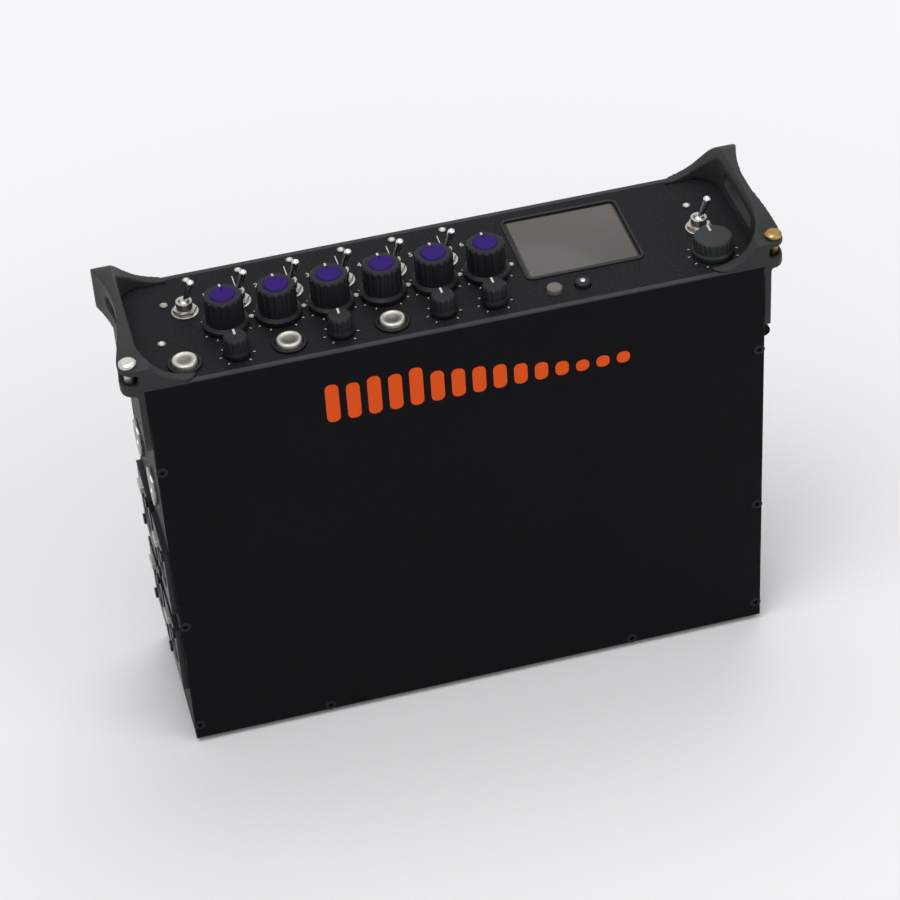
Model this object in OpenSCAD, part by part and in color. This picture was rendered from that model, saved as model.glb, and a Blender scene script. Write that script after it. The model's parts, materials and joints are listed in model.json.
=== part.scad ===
// Portable field recorder, stood on its rear plate with the control panel facing up.
// X runs along the row of faders, -Y is the face that carries the printed bars, +Z is up.
// The origin is the centre of the box around the whole recorder, at the feet.

/* [Case] */
// Width of the case between the outer faces of its side panels
case_w = 236; // [224:1:260]
// Thickness of the case over its two covers
case_d = 66; // [60:1:74]
// Height from the underside of the base plate to the control panel's face
case_h = 177.5; // [172:0.5:220]
// Thickness of the two large covers
cover_t = 2; // [1.6:0.1:2.5]
// Thickness of the side panels
side_t = 4; // [3.6:0.1:5]
// Thickness of the base plate
base_t = 4; // [3.6:0.1:6]
// Thickness of the control panel
panel_t = 2.5; // [2:0.1:3]

/* [Feet] */
// Height of a rubber foot below the base plate
foot_h = 2.5; // [1.5:0.1:5]
// Diameter of a foot
foot_d = 10; // [8:0.5:12]
// Distance from the case's edges to the middle of a foot
foot_inset = 9; // [7:0.5:14]

/* [Guards] */
// Thickness of a guard's end wall, outside the case
guard_t = 8; // [7:0.5:12]
// Height of a guard above the control panel
guard_rise = 16; // [15:0.5:20]
// Depth of the end wall below the control panel
wall_drop = 2.5; // [2:0.1:4]
// Depth of the flange that bolts a guard to its side panel
guard_drop = 28; // [24:1:34]
// Thickness of that flange
guard_flange_t = 2.5; // [2.2:0.1:3]
// Reach of a guard's legs along the panel's edges
leg_l = 20; // [18:1:26]
// Width of a leg
leg_t = 4; // [3:0.5:5]
// Height of a leg at its tip
leg_tip_h = 1; // [0.8:0.1:3]
// Radius of the scoop that lowers a leg to its tip
scoop_r = 22; // [20:1:30]
// Radius of a guard's top corner at the back, seen from the end
shoulder_r = 12; // [8:1:14]
// Radius that brings the end wall down to the strap pin at the front
front_shoulder_r = 24; // [20:1:28]
// Length of the waist in the end wall's outer face
waist_l = 50; // [44:1:54]
// Depth of that waist
waist_in = 4.5; // [3:0.5:4.5]
// Radius of a guard's outer edges, seen from above
guard_edge_r = 5; // [3:0.5:6]
// Radius where a leg meets the end wall, seen from above
throat_r = 10; // [5:0.5:12]
// Length of the strap slot
strap_slot_l = 31; // [24:1:34]
// Width of the strap slot
strap_slot_h = 6; // [5:0.5:7]
// Height of the strap slot's lower edge above the panel
strap_slot_up = 4.5; // [3:0.5:6]

/* [Strap pins] */
// Diameter of a strap pin
pin_d = 4; // [3:0.1:4.5]
// Diameter of a strap pin's head
pin_head_d = 6.6; // [5.5:0.1:7]
// Height of the gap that a strap pin crosses
pin_gap = 5; // [4.5:0.1:5.5]
// Height of that gap's floor above the control panel
pin_up = 2; // [1.5:0.1:2.5]
// Thickness of the ear above that gap
ear_t = 2.4; // [2:0.1:2.8]

/* [Faders] */
// Number of channels
channels = 6; // [6:1:6]
// Distance between faders
fader_pitch = 20; // [19.5:0.1:20.5]
// Left-hand fader's distance from the middle of the case
fader_first = 82; // [80:1:84]
// Distance of the faders' row in front of the middle
fader_front = 4; // [3:0.5:5]
// Diameter of a fader knob's skirt
fader_skirt_d = 17.6; // [16:0.1:18]
// Diameter of a fader knob's grip
fader_grip_d = 14.6; // [13:0.1:15]
// Height of a fader knob's top above the panel
fader_h = 14.5; // [12:0.5:15]
// Diameter of the coloured cap
fader_cap_d = 9.4; // [7:0.1:11]
// Diameter of a fader's shaft
fader_shaft_d = 6; // [5:0.1:6.4]

/* [Toggles] */
// Distance of a toggle to the left of its fader
toggle_left = 13; // [12:0.1:13.4]
// Distance of the toggles' row behind the middle
toggle_back = 9; // [8:0.5:10]
// Height of a toggle's tip above its pivot
toggle_l = 11; // [8:0.5:13]
// Lean of a toggle at rest, in degrees
toggle_lean = 20; // [10:1:22]
// Diameter of a toggle's threaded bushing
bushing_d = 6.2; // [5.8:0.1:6.6]

/* [Front row] */
// Distance between neighbours in the front row
row_pitch = 19.5; // [19:0.1:20]
// Left-hand button's distance from the middle of the case
row_first = 101; // [100:0.5:102]
// Distance of the row behind the case's front edge
row_inset = 10.5; // [10:0.1:11]
// Diameter of a select button
button_d = 9.6; // [8:0.1:10]
// Travel of every button and key
key_travel = 1; // [0.6:0.1:1.2]
// Diameter of a trim knob
trim_d = 9.4; // [8:0.1:10]
// Height of a trim knob above the panel
trim_h = 8.5; // [6:0.5:10]

/* [Display] */
// Width of the display's window
window_w = 44; // [38:1:45]
// Depth of the display's window
window_d = 38; // [32:1:40]
// Window's middle, to the right of the middle of the case
window_x = 54; // [53:1:56]
// Window's middle, behind the middle of the case
window_y = 6; // [5:0.5:7]
// Thickness of the window
window_t = 1.5; // [1:0.1:1.8]

/* [Right-hand controls] */
// Headphone knob's distance from the middle of the case
phones_x = 102; // [100:1:103]
// Headphone knob's distance behind the case's front edge
phones_inset = 14; // [13:0.5:15]
// Diameter of the headphone knob
phones_d = 15.4; // [14:0.1:17]
// Height of the headphone knob
phones_h = 8; // [6:0.5:12]

/* [Side sockets] */
// Width of a large input socket's flange
xlr_w = 26; // [25:0.1:26]
// Height of a large input socket's flange
xlr_h = 31; // [30:0.5:32]
// Bore of a large input socket
xlr_bore_d = 19; // [18.6:0.1:19.4]
// Depth of a large input socket behind the side panel
xlr_depth = 20; // [18:1:24]
// Height of the lower pair of large sockets
xlr_low = 40; // [36:1:44]
// Distance between the two pairs
xlr_pitch = 40; // [38:1:44]
// Bore of the headphone socket
jack_bore_d = 6.4; // [6.35:0.01:6.6]
// Depth of the headphone socket's bore
jack_depth = 30; // [26:1:34]

/* [Battery sled] */
// Diameter of a cell
cell_d = 14.2; // [13.5:0.1:14.5]
// Length of a cell
cell_l = 50; // [48:0.5:51]
// Thickness of the sled's walls
sled_t = 1.5; // [1.2:0.1:2]
// Height of the sled's floor above the base plate
sled_up = 6; // [4:0.5:8]

/* [Card door] */
// Width of the card door
door_w = 42; // [38:1:44]
// Height of the card door below its hinge
door_h = 28; // [26:1:30]
// Thickness of the card door
door_t = 2.5; // [2:0.1:3]
// Height of the door's hinge above the base plate
door_up = 139.5; // [136:0.5:141]

/* [Fits] */
// Gap between pieces that move past each other
gap = 0.3; // [0.25:0.01:0.4]
// Radial clearance of a shaft in its bearing
run = 0.05; // [0.03:0.01:0.08]
// Radial clearance of a fixed piece in its hole
fit = 0.1; // [0.05:0.01:0.15]

/* [Hidden] */
$fn = 48;
over = 1; // how far a cutting shape runs past the surface that it cuts

// Levels and outer faces
base_z = foot_h;
panel_z = base_z + case_h;
under_z = panel_z - panel_t;
floor_z = base_z + base_t;
top_z = panel_z + guard_rise;
side_x = case_w / 2;
inner_x = side_x - side_t;
guard_x = side_x + guard_t;
cover_y = case_d / 2;
inner_y = cover_y - cover_t;

// Places on the control panel
fader_x = [for (i = [0:channels - 1]) -fader_first + i * fader_pitch];
toggle_x = [for (x = fader_x) x - toggle_left];
button_x = [for (i = [0:2]) -row_first + 2 * i * row_pitch];
trim_x = concat([for (x = button_x) x + row_pitch], [button_x[2] + 2 * row_pitch]);
key_d = 6;
key_x = [window_x - 15, window_x - 4];
record_x = window_x - window_w / 2 - 7;
record_y = window_y + 9;
phones_y = -cover_y + phones_inset;
power_y = phones_y + 17;
row_y = -cover_y + row_inset;

// Depth of what hangs below the control panel, down to its circuit board
pot_h = 10;
pot_w = 11;
trim_pot_w = 8.6;
trim_shaft_d = 3.4;
board_t = 1.6;
board_z = under_z - pot_h - board_t;
nut_h = 1.8;
stem_d = 3;
stem_l = 5;
flange_t = 1;
switch_h = 5;

// Toggle pivot, and the ball that the lever turns on
ball_d = 4;
pivot_up = 3.2;
bushing_up = 5;
pivot_z = panel_z + pivot_up;

// Strap pins, near the guards' outer corners
pin_x = guard_x - 3.8;
pin_y = cover_y - 4.4;
notch_z = panel_z + pin_up;
ear_z = notch_z + pin_gap + ear_t;
pin_bury = 3.5;
notch_w = 8;
notch_d = 6.5;
notch_rim = 3;

// Screws: M2.5 in the covers, M3 elsewhere
small_d = 2.5;
small_head_d = 4.6;
small_head_h = 1.2;
screw_l = 8;
bolt_d = 3;
bolt_head_d = 5.5;
bolt_head_h = 1.6;
guard_flange_x = side_x + guard_flange_t;
guard_bolt_y = inner_y - 6;
guard_bolt_z = panel_z - guard_drop + 7;
cover_screw_z = [base_z + 7, base_z + xlr_low + xlr_pitch / 2, base_z + 138];
base_screw_x = [-side_x + 55, side_x - 55];

// Bracket holes in the back cover
bracket_w = 100;
bracket_h = 75;
bracket_z = base_z + 80;
bracket_boss_d = 8;
bracket_deep = 6;

// Side sockets
xlr_y = [-case_d / 4, case_d / 4];
xlr_z = [base_z + xlr_low, base_z + xlr_low + xlr_pitch];
xlr_barrel_d = xlr_bore_d + 4;
xlr_flange_t = 2;
latch_w = 7;
latch_h = 3;
latch_up = xlr_bore_d / 2 + 3.6;
mini_face_d = 9;
mini_body_d = 12;
mini_flange_d = 15;
timecode_ring_d = 13;
left_mini_z = base_z + 118;
right_mini_z = base_z + 46;
timecode_z = base_z + 68;
jack_z = base_z + 90;
jack_y = inner_y / 2 - 0.5;
socket_l = 18;

// Battery sled, its faceplate and the rails that carry it
cell_gap = 0.6;
cell_pitch = cell_d + cell_gap;
sled_in_w = 3 * cell_pitch + cell_gap;
sled_w = sled_in_w + 2 * sled_t;
sled_in_l = 2 * cell_l + 3 * cell_gap;
sled_z = floor_z + sled_up;
sled_wall_h = 11;
face_t = 2.5;
face_x = side_x + gap;
face_h = cell_d + 9;
face_w = sled_w + 3;
bay_z = [sled_z - gap, sled_z + sled_t + cell_d + 2];
sled_back_x = face_x - sled_in_l - 2 * sled_t;

// Card door, its hinge and the card cage behind it
barrel_d = 4.8;
hinge_pin_d = 2.4;
hinge_ear_t = 3;
hinge_z = base_z + door_up;
hinge_x = side_x + barrel_d / 2 + 2 * gap;
door_in_x = side_x + gap;
card_w = 36.4;
card_l = 43;
card_t = 3.3;
card_x = inner_x - 3;
card_y = -1.5;
card_z = [hinge_z - 13, hinge_z - 21];
cage_x = card_x - 4;
cage_end_x = card_x - card_l - 2;
cage_h = 20;
door_hole_w = door_w - 4;
door_hole_z = [hinge_z - door_h + 3, hinge_z - 4];

// Main board, on posts from the back cover
main_y = inner_y - 5.4;
main_x = [-inner_x + xlr_depth + 6, inner_x - 4];
main_z = [floor_z + 34, board_z - 6];
post_x = [main_x[0] + 8, main_x[1] - 8];
post_z = [main_z[0] + 8, main_z[1] - 8];
post_d = 6;

// A box between two corners
module slab(from, to) {
    translate(from) cube(to - from);
}

// The same, with its upright edges rounded
module round_slab(from, to, r) {
    h = to[2] - from[2];
    slab([from[0] + r, from[1], from[2]], [to[0] - r, to[1], to[2]]);
    slab([from[0], from[1] + r, from[2]], [to[0], to[1] - r, to[2]]);
    for (x = [from[0] + r, to[0] - r], y = [from[1] + r, to[1] - r])
        translate([x, y, from[2]]) cylinder(r = r, h = h);
}

// Places its children with their Z axis along +X
module facing_right() {
    rotate([0, 90, 0]) children();
}

// Places its children with their Z axis along +Y
module facing_back() {
    rotate([-90, 0, 0]) children();
}

// A hole straight down through the control panel
module panel_hole(x, y, d) {
    translate([x, y, under_z - over]) cylinder(d = d, h = panel_t + 2 * over);
}

// Radius of the waist, from its length and depth
function waist_r() = (waist_l * waist_l / 4 + waist_in * waist_in) / (2 * waist_in);

// The guard's height seen from the end: a round shoulder at the back, a long one down to the ear in front
module shoulder_block() {
    low_x = side_x - leg_l - over;
    long_l = leg_l + guard_t + 2 * over;
    front_y = -cover_y + front_shoulder_r;
    back_y = cover_y - shoulder_r;
    low_z = panel_z - guard_drop;
    slab([low_x, -cover_y, low_z], [guard_x + over, back_y, ear_z]);
    slab([low_x, back_y - over, low_z], [guard_x + over, cover_y, top_z - shoulder_r]);
    slab([low_x, front_y, ear_z - over], [guard_x + over, back_y, top_z]);
    translate([low_x, back_y, top_z - shoulder_r])
        facing_right() cylinder(r = shoulder_r, h = long_l, $fn = 96);
    translate([low_x, front_y, top_z - front_shoulder_r])
        facing_right() cylinder(r = front_shoulder_r, h = long_l, $fn = 160);
}

// The long hollow that thins the end wall between its two corners
module waist() {
    translate([guard_x - waist_in + waist_r(), 0, panel_z - guard_drop - over])
        cylinder(r = waist_r(), h = guard_drop + guard_rise + 2 * over, $fn = 240);
}

// The open middle between a guard's two legs, with round corners at the end wall
module throat() {
    y = cover_y - leg_t;
    round_slab([0, -y, panel_z], [side_x, y, top_z + over], throat_r);
}

// Lowers the legs in one sweep from the end wall to their tips
module scoop() {
    tip_x = side_x - leg_l;
    translate([tip_x, -cover_y - over, panel_z + leg_tip_h + scoop_r])
        facing_back() cylinder(r = scoop_r, h = case_d + 2 * over, $fn = 160);
}

module strap_slot() {
    r = strap_slot_h / 2;
    z = panel_z + strap_slot_up + r;
    for (y = [-strap_slot_l / 2 + r, strap_slot_l / 2 - r])
        translate([side_x - over, y, z]) facing_right() cylinder(r = r, h = guard_t + 2 * over);
    slab([side_x - over, -strap_slot_l / 2 + r, z - r],
         [guard_x + over, strap_slot_l / 2 - r, z + r]);
}

// The notch, ear and hole for the strap pin at the front corner of the end wall
module pin_notch() {
    far_y = -cover_y - over;
    near_y = -cover_y + notch_w;
    slab([guard_x - notch_d, far_y, notch_z], [guard_x + over, near_y, notch_z + pin_gap]);
    slab([side_x - notch_rim, far_y, ear_z], [guard_x + over, near_y, top_z + over]);
    translate([pin_x, -pin_y, notch_z - pin_bury - fit])
        cylinder(d = pin_d + 2 * fit, h = ear_z - notch_z + pin_bury + over);
}

// Through holes and sunk seats in the flange for the bolts into the side panel
module guard_bolt_holes() {
    for (y = [-guard_bolt_y, guard_bolt_y])
        translate([side_x - over, y, guard_bolt_z]) facing_right() {
            cylinder(d = bolt_d + 2 * fit, h = guard_flange_t + 2 * over);
            translate([0, 0, over + guard_flange_t - bolt_head_h])
                cylinder(d = bolt_head_d + 4 * fit, h = bolt_head_h + over);
        }
}

// The right-hand guard; the left-hand one is its mirror image
module guard() {
    difference() {
        intersection() {
            round_slab([side_x - leg_l, -cover_y, panel_z - guard_drop],
                       [guard_x, cover_y, top_z], guard_edge_r);
            shoulder_block();
        }
        slab([0, -cover_y - over, 0], [side_x, cover_y + over, panel_z]);
        throat();
        scoop();
        strap_slot();
        slab([guard_flange_x, -cover_y - over, panel_z - guard_drop - over],
             [guard_x + over, cover_y + over, panel_z - wall_drop]);
        waist();
        pin_notch();
        guard_bolt_holes();
    }
}

module left_guard() {
    color("#3c3836") mirror([1, 0, 0]) guard();
}

module right_guard() {
    color("#3c3836") guard();
}

// Headed pins that a strap's hook closes on
module strap_pins() {
    color("#b08a4a")
        for (sx = [-1, 1])
            translate([sx * pin_x, -pin_y, 0]) {
                translate([0, 0, notch_z - pin_bury]) cylinder(d = pin_d, h = ear_z - notch_z + pin_bury);
                translate([0, 0, ear_z]) cylinder(d = pin_head_d, h = 1.4);
                translate([0, 0, ear_z + 1.4]) cylinder(d1 = pin_head_d, d2 = 4.6, h = 0.7);
            }
}

module panel_openings() {
    for (x = fader_x) panel_hole(x, -fader_front, fader_shaft_d + 3);
    for (x = trim_x) panel_hole(x, row_y, trim_shaft_d + 2.6 + 2 * fit);
    for (x = toggle_x) panel_hole(x, toggle_back, bushing_d + 2 * fit);
    for (x = button_x) panel_hole(x, row_y, button_d + 2 * gap);
    for (x = key_x) panel_hole(x, row_y, key_d + 2 * gap);
    panel_hole(record_x, record_y, key_d + 2 * gap);
    panel_hole(phones_x, phones_y, fader_shaft_d + 3);
    panel_hole(phones_x, power_y, bushing_d + 2 * fit);
    window(fit, over);
    slab([window_x - window_w / 2 + 2, window_y - window_d / 2 + 2, under_z - over],
         [window_x + window_w / 2 - 2, window_y + window_d / 2 - 2, panel_z + over]);
}

module control_panel() {
    color("#2d2d30")
        difference() {
            slab([-side_x, -inner_y, under_z], [side_x, inner_y, panel_z]);
            panel_openings();
        }
}

// The display's window, or its pocket when grown by side and top
module window(side, top) {
    w = window_w / 2 + side;
    d = window_d / 2 + side;
    round_slab([window_x - w, window_y - d, panel_z - window_t],
               [window_x + w, window_y + d, panel_z + top], 2);
}

module display_window() {
    color("#6e6c66") window(0, 0);
}

// Display panel under the window, with the connector that carries it on the circuit board
module display_module() {
    w = window_w / 2 + 2;
    d = window_d / 2;
    mid_z = under_z - 6;
    color("#303436") {
        slab([window_x - w, window_y - d, mid_z], [window_x + w, window_y + d, under_z]);
        slab([window_x - w + 6, window_y - 8, board_z + board_t], [window_x + w - 6, window_y + 8, mid_z + 0.2]);
    }
}

// Through hole and sunk seat for a small screw in a cover, on side s
module cover_screw_hole(x, z, s) {
    translate([x, s * cover_y, z]) facing_back() {
        translate([0, 0, -6]) cylinder(d = small_d + 2 * fit, h = 12);
        translate([0, 0, s > 0 ? -small_head_h : -over])
            cylinder(d = small_head_d + 2 * fit, h = small_head_h + over);
    }
}

module all_cover_screw_holes(s) {
    for (x = [-side_x + side_t / 2, side_x - side_t / 2], z = cover_screw_z) cover_screw_hole(x, z, s);
    for (x = base_screw_x) cover_screw_hole(x, base_z + base_t / 2, s);
}

module front_cover() {
    color("#121216")
        difference() {
            slab([-side_x, -cover_y, base_z], [side_x, -inner_y, panel_z]);
            all_cover_screw_holes(-1);
        }
}

// Threaded posts for a bracket, and posts that carry the main board
module back_cover() {
    color("#121216")
        difference() {
            union() {
                slab([-side_x, inner_y, base_z], [side_x, cover_y, panel_z]);
                for (x = [-bracket_w / 2, bracket_w / 2], z = [-bracket_h / 2, bracket_h / 2])
                    translate([x, cover_y - bracket_deep - 0.5, bracket_z + z])
                        facing_back() cylinder(d = bracket_boss_d, h = bracket_deep + 0.5 - cover_t + 0.2);
                for (x = post_x, z = post_z)
                    translate([x, main_y, z]) facing_back() cylinder(d = post_d, h = inner_y - main_y + 0.2);
            }
            all_cover_screw_holes(1);
            for (x = [-bracket_w / 2, bracket_w / 2], z = [-bracket_h / 2, bracket_h / 2])
                translate([x, cover_y - bracket_deep, bracket_z + z])
                    facing_back() cylinder(d = bolt_d, h = bracket_deep + over);
        }
}

// Screw holes in the edges of a side panel, for the covers, and in its face, for the guard
module side_panel_holes(s) {
    for (z = cover_screw_z, y = [-1, 1])
        translate([s * (side_x - side_t / 2), y * (inner_y + over), z])
            rotate([y * 90, 0, 0]) cylinder(d = small_d, h = screw_l);
    for (y = [-guard_bolt_y, guard_bolt_y])
        translate([s > 0 ? inner_x - over : -side_x - over, y, guard_bolt_z])
            facing_right() cylinder(d = bolt_d, h = side_t + 2 * over);
}

module left_panel() {
    color("#1c1c20")
        difference() {
            slab([-side_x, -inner_y, floor_z], [-inner_x, inner_y, under_z]);
            side_panel_holes(-1);
            for (y = xlr_y, z = xlr_z) {
                translate([-side_x - over, y, z])
                    facing_right() cylinder(d = xlr_barrel_d + 2 * fit, h = side_t + 2 * over);
                xlr_latch_slot(y, z, -inner_x + over);
                for (s = [-1, 1]) translate([-side_x - over, y + s * 10, z - s * 12.5])
                    facing_right() cylinder(d = small_d, h = side_t + 2 * over);
            }
            for (y = [-jack_y, jack_y]) translate([-side_x - over, y, left_mini_z])
                facing_right() cylinder(d = mini_body_d + 2 * fit, h = side_t + 2 * over);
        }
}

// One ear of the card door's hinge, on side s, with the pin that reaches into the door's barrel
module hinge_ear(s) {
    near = s * (door_w / 2 + gap);
    far = s * (door_w / 2 + gap + hinge_ear_t);
    y = min(near, far);
    slab([side_x - 0.5, y, hinge_z - barrel_d / 2], [hinge_x, y + hinge_ear_t, hinge_z + barrel_d / 2]);
    translate([hinge_x, y, hinge_z]) facing_back() cylinder(d = barrel_d, h = hinge_ear_t);
    translate([hinge_x, s > 0 ? door_w / 2 - 5 : -door_w / 2 - gap - 1, hinge_z])
        facing_back() cylinder(d = hinge_pin_d, h = 6 + gap);
}

module right_panel() {
    color("#1c1c20") {
        difference() {
            slab([inner_x, -inner_y, floor_z], [side_x, inner_y, under_z]);
            side_panel_holes(1);
            for (y = [-jack_y, jack_y], z = [right_mini_z, timecode_z, jack_z])
                translate([inner_x - over, y, z])
                    facing_right() cylinder(d = mini_body_d + 2 * fit, h = side_t + 2 * over);
            slab([inner_x - over, -sled_w / 2 - gap, bay_z[0]], [side_x + over, sled_w / 2 + gap, bay_z[1]]);
            slab([inner_x - over, -door_hole_w / 2, door_hole_z[0]],
                 [side_x + over, door_hole_w / 2, door_hole_z[1]]);
        }
        for (s = [-1, 1]) hinge_ear(s);
    }
}

// Plate at the recorder's rear, with the two rails that the battery sled slides on
module base_plate() {
    rail_w = 4;
    color("#1c1c20") {
        difference() {
            slab([-side_x, -inner_y, base_z], [side_x, inner_y, floor_z]);
            for (x = base_screw_x, y = [-1, 1])
                translate([x, y * (inner_y + over), base_z + base_t / 2])
                    rotate([y * 90, 0, 0]) cylinder(d = small_d, h = screw_l);
        }
        for (y = [-sled_w / 2 + 1, sled_w / 2 - 1 - rail_w])
            slab([sled_back_x, y, floor_z - 0.5], [inner_x, y + rail_w, sled_z - gap / 3]);
    }
}

module feet() {
    x = side_x - foot_inset;
    y = cover_y - foot_inset;
    color("#18181a")
        for (sx = [-x, x], sy = [-y, y])
            translate([sx, sy, 0]) {
                cylinder(d1 = foot_d - 1, d2 = foot_d, h = foot_h / 2);
                translate([0, 0, foot_h / 2]) cylinder(d = foot_d, h = foot_h / 2);
            }
}

// A flat-headed screw pointing along +Y from its head on side s
module cover_screw(x, z, s) {
    translate([x, s * cover_y, z]) rotate([s * 90, 0, 0])
        difference() {
            union() {
                cylinder(d = small_head_d, h = small_head_h);
                cylinder(d = small_d - 2 * fit, h = screw_l - 1);
            }
            translate([0, 0, -over]) cylinder(d = 2.2, h = 0.8 + over, $fn = 6);
        }
}

// A low-headed bolt through a guard's flange, on side s
module guard_bolt(y, s) {
    translate([s * guard_flange_x, y, guard_bolt_z]) rotate([0, -s * 90, 0])
        difference() {
            union() {
                cylinder(d = bolt_head_d, h = bolt_head_h);
                cylinder(d = bolt_d - 2 * fit, h = guard_flange_t + side_t);
            }
            translate([0, 0, -over]) cylinder(d = 2.8, h = 1 + over, $fn = 6);
        }
}

module case_screws() {
    color("#26262a") {
        for (s = [-1, 1]) {
            for (x = [-side_x + side_t / 2, side_x - side_t / 2], z = cover_screw_z) cover_screw(x, z, s);
            for (x = base_screw_x) cover_screw(x, base_z + base_t / 2, s);
            for (y = [-guard_bolt_y, guard_bolt_y]) guard_bolt(y, s);
        }
        for (y = xlr_y, z = xlr_z, s = [-1, 1])
            translate([-side_x - xlr_flange_t, y + s * 10, z - s * 12.5]) facing_right() {
                translate([0, 0, -0.9]) cylinder(d = 4.4, h = 0.9);
                cylinder(d = small_d - 2 * fit, h = xlr_flange_t + side_t);
            }
    }
}

// Knob with a fluted grip, turning about Z on its own shaft
module fluted_knob(skirt_d, grip_d, h, flutes, shaft_d, shaft_l) {
    lift = 0.5;
    difference() {
        union() {
            translate([0, 0, lift]) cylinder(d = skirt_d, h = 1.8);
            translate([0, 0, lift + 1.8]) cylinder(d1 = skirt_d, d2 = grip_d, h = 0.8);
            translate([0, 0, lift + 2.6]) cylinder(d = grip_d, h = h - lift - 3.4);
            translate([0, 0, h - 0.8]) cylinder(d1 = grip_d, d2 = grip_d - 1.6, h = 0.8);
        }
        translate([0, 0, -over]) cylinder(d = shaft_d + 6, h = over + nut_h + 2 * gap + lift);
        for (i = [0:flutes - 1]) rotate([0, 0, i * 360 / flutes])
            translate([grip_d / 2 + 0.55, 0, lift + 3.4])
                cylinder(r = 1, h = h, $fn = 24);
    }
    translate([0, 0, -shaft_l]) cylinder(d = shaft_d, h = shaft_l + nut_h + 2 * gap + lift + 0.2);
}

module fader_knob(i) {
    cap_seat = 1.2;
    color("#19191c")
        translate([fader_x[i - 1], -fader_front, panel_z])
            difference() {
                fluted_knob(fader_skirt_d, fader_grip_d, fader_h - 0.4, 16, fader_shaft_d, 8);
                translate([0, 0, fader_h - 0.4 - cap_seat]) cylinder(d = fader_cap_d + 2 * fit, h = 2);
            }
}

// Coloured disc set into a fader knob's top, with a pointer groove
module fader_cap(i) {
    color("#4b2a8c")
        translate([fader_x[i - 1], -fader_front, panel_z + fader_h - 1.6])
            difference() {
                union() {
                    cylinder(d = fader_cap_d, h = 1.2);
                    translate([0, 0, 1.2]) cylinder(d1 = fader_cap_d, d2 = fader_cap_d - 0.8, h = 0.4);
                }
                slab([-0.4, fader_cap_d / 2 - 3, 1.1], [0.4, fader_cap_d, 2]);
            }
}

// Threaded bearing for a turning shaft, with its nut and the pot's body below the panel
module pot(x, y, shaft_d, body_w) {
    sleeve_d = shaft_d + 2.4;
    translate([x, y, 0]) difference() {
        union() {
            translate([-body_w / 2, -body_w / 2, board_z + board_t]) cube([body_w, body_w, pot_h]);
            translate([0, 0, under_z - over]) cylinder(d = sleeve_d, h = panel_t + over + nut_h);
            translate([0, 0, panel_z]) cylinder(d = sleeve_d + 2.6, h = nut_h, $fn = 6);
        }
        translate([0, 0, under_z - 6]) cylinder(r = shaft_d / 2 + run, h = 6 + panel_t + nut_h + over);
    }
}

module fader_pots() {
    color("#5a5c60") {
        for (x = fader_x) pot(x, -fader_front, fader_shaft_d, pot_w);
        for (x = trim_x) pot(x, row_y, trim_shaft_d, trim_pot_w);
        pot(phones_x, phones_y, fader_shaft_d, pot_w);
    }
}

module trim_knob(i) {
    color("#19191c")
        translate([trim_x[i - 1], row_y, panel_z])
            fluted_knob(trim_d + 0.8, trim_d, trim_h, 12, trim_shaft_d, 8);
}

module headphone_knob() {
    color("#2b3030")
        translate([phones_x, phones_y, panel_z])
            fluted_knob(phones_d + 0.6, phones_d - 0.6, phones_h, 24, fader_shaft_d, 8);
}

// Round-tipped bat lever on a ball, leaning to the right
module toggle_lever(x, y) {
    tip_r = 1.45;
    translate([x, y, pivot_z]) rotate([0, toggle_lean, 0]) {
        sphere(d = ball_d);
        cylinder(r1 = 0.95, r2 = tip_r, h = toggle_l - tip_r);
        translate([0, 0, toggle_l - tip_r]) sphere(r = tip_r);
    }
}

module channel_lever(i) {
    color("#c9cacc") toggle_lever(toggle_x[i - 1], toggle_back);
}

module power_lever() {
    color("#c9cacc") toggle_lever(phones_x, power_y);
}

// Threaded bushings with a nut and a body below the panel, one for each lever
module toggle_bushings() {
    body_w = 8;
    color("#a9a8a4")
        for (p = concat([for (x = toggle_x) [x, toggle_back]], [[phones_x, power_y]]))
            translate([p[0], p[1], 0]) difference() {
                union() {
                    translate([0, 0, under_z - over]) cylinder(d = bushing_d, h = panel_t + over + bushing_up);
                    translate([0, 0, panel_z]) cylinder(d = bushing_d + 3, h = nut_h, $fn = 6);
                    translate([-body_w / 2, -body_w / 2, board_z + board_t]) cube([body_w, body_w, pot_h]);
                }
                translate([0, 0, pivot_z]) cylinder(r = ball_d / 2 + run, h = 10);
                translate([0, 0, pivot_z - ball_d / 2 - 0.2]) cylinder(r = ball_d / 2 + run, h = ball_d / 2 + 0.3);
            }
}

// Push button on a stem, kept in by the flange under the panel
module push_button(d, proud) {
    translate([0, 0, under_z - gap - flange_t]) cylinder(d = d + 2, h = flange_t);
    translate([0, 0, under_z - gap - flange_t - stem_l]) cylinder(d = stem_d, h = stem_l + 0.2);
    translate([0, 0, under_z - gap - 0.2]) cylinder(d = d, h = panel_t + gap + 0.2 + proud - 0.5);
    translate([0, 0, panel_z + proud - 0.5]) cylinder(d1 = d, d2 = d - 1, h = 0.5);
}

module select_button(i) {
    color("#bdbbb4")
        translate([button_x[i - 1], row_y, 0])
            difference() {
                push_button(button_d, 2.6);
                translate([0, 0, panel_z + 2.6 + 11.4]) sphere(d = 24, $fn = 96);
            }
}

module record_key() {
    color("#a83a4a") translate([record_x, record_y, 0]) push_button(key_d, 1.8);
}

module menu_key(i) {
    color("#8d8d8b") translate([key_x[i - 1], row_y, 0]) push_button(key_d, 1.8);
}

// Switches on the circuit board that guide the buttons' stems
module switch_bodies() {
    color("#3a3d42")
        for (p = concat([for (x = button_x) [x, row_y]], [for (x = key_x) [x, row_y]],
                        [[record_x, record_y]]))
            translate([p[0], p[1], board_z + board_t]) difference() {
                translate([-4, -4, 0]) cube([8, 8, switch_h]);
                translate([0, 0, 0.8]) cylinder(r = stem_d / 2 + run, h = switch_h);
            }
}

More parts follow.
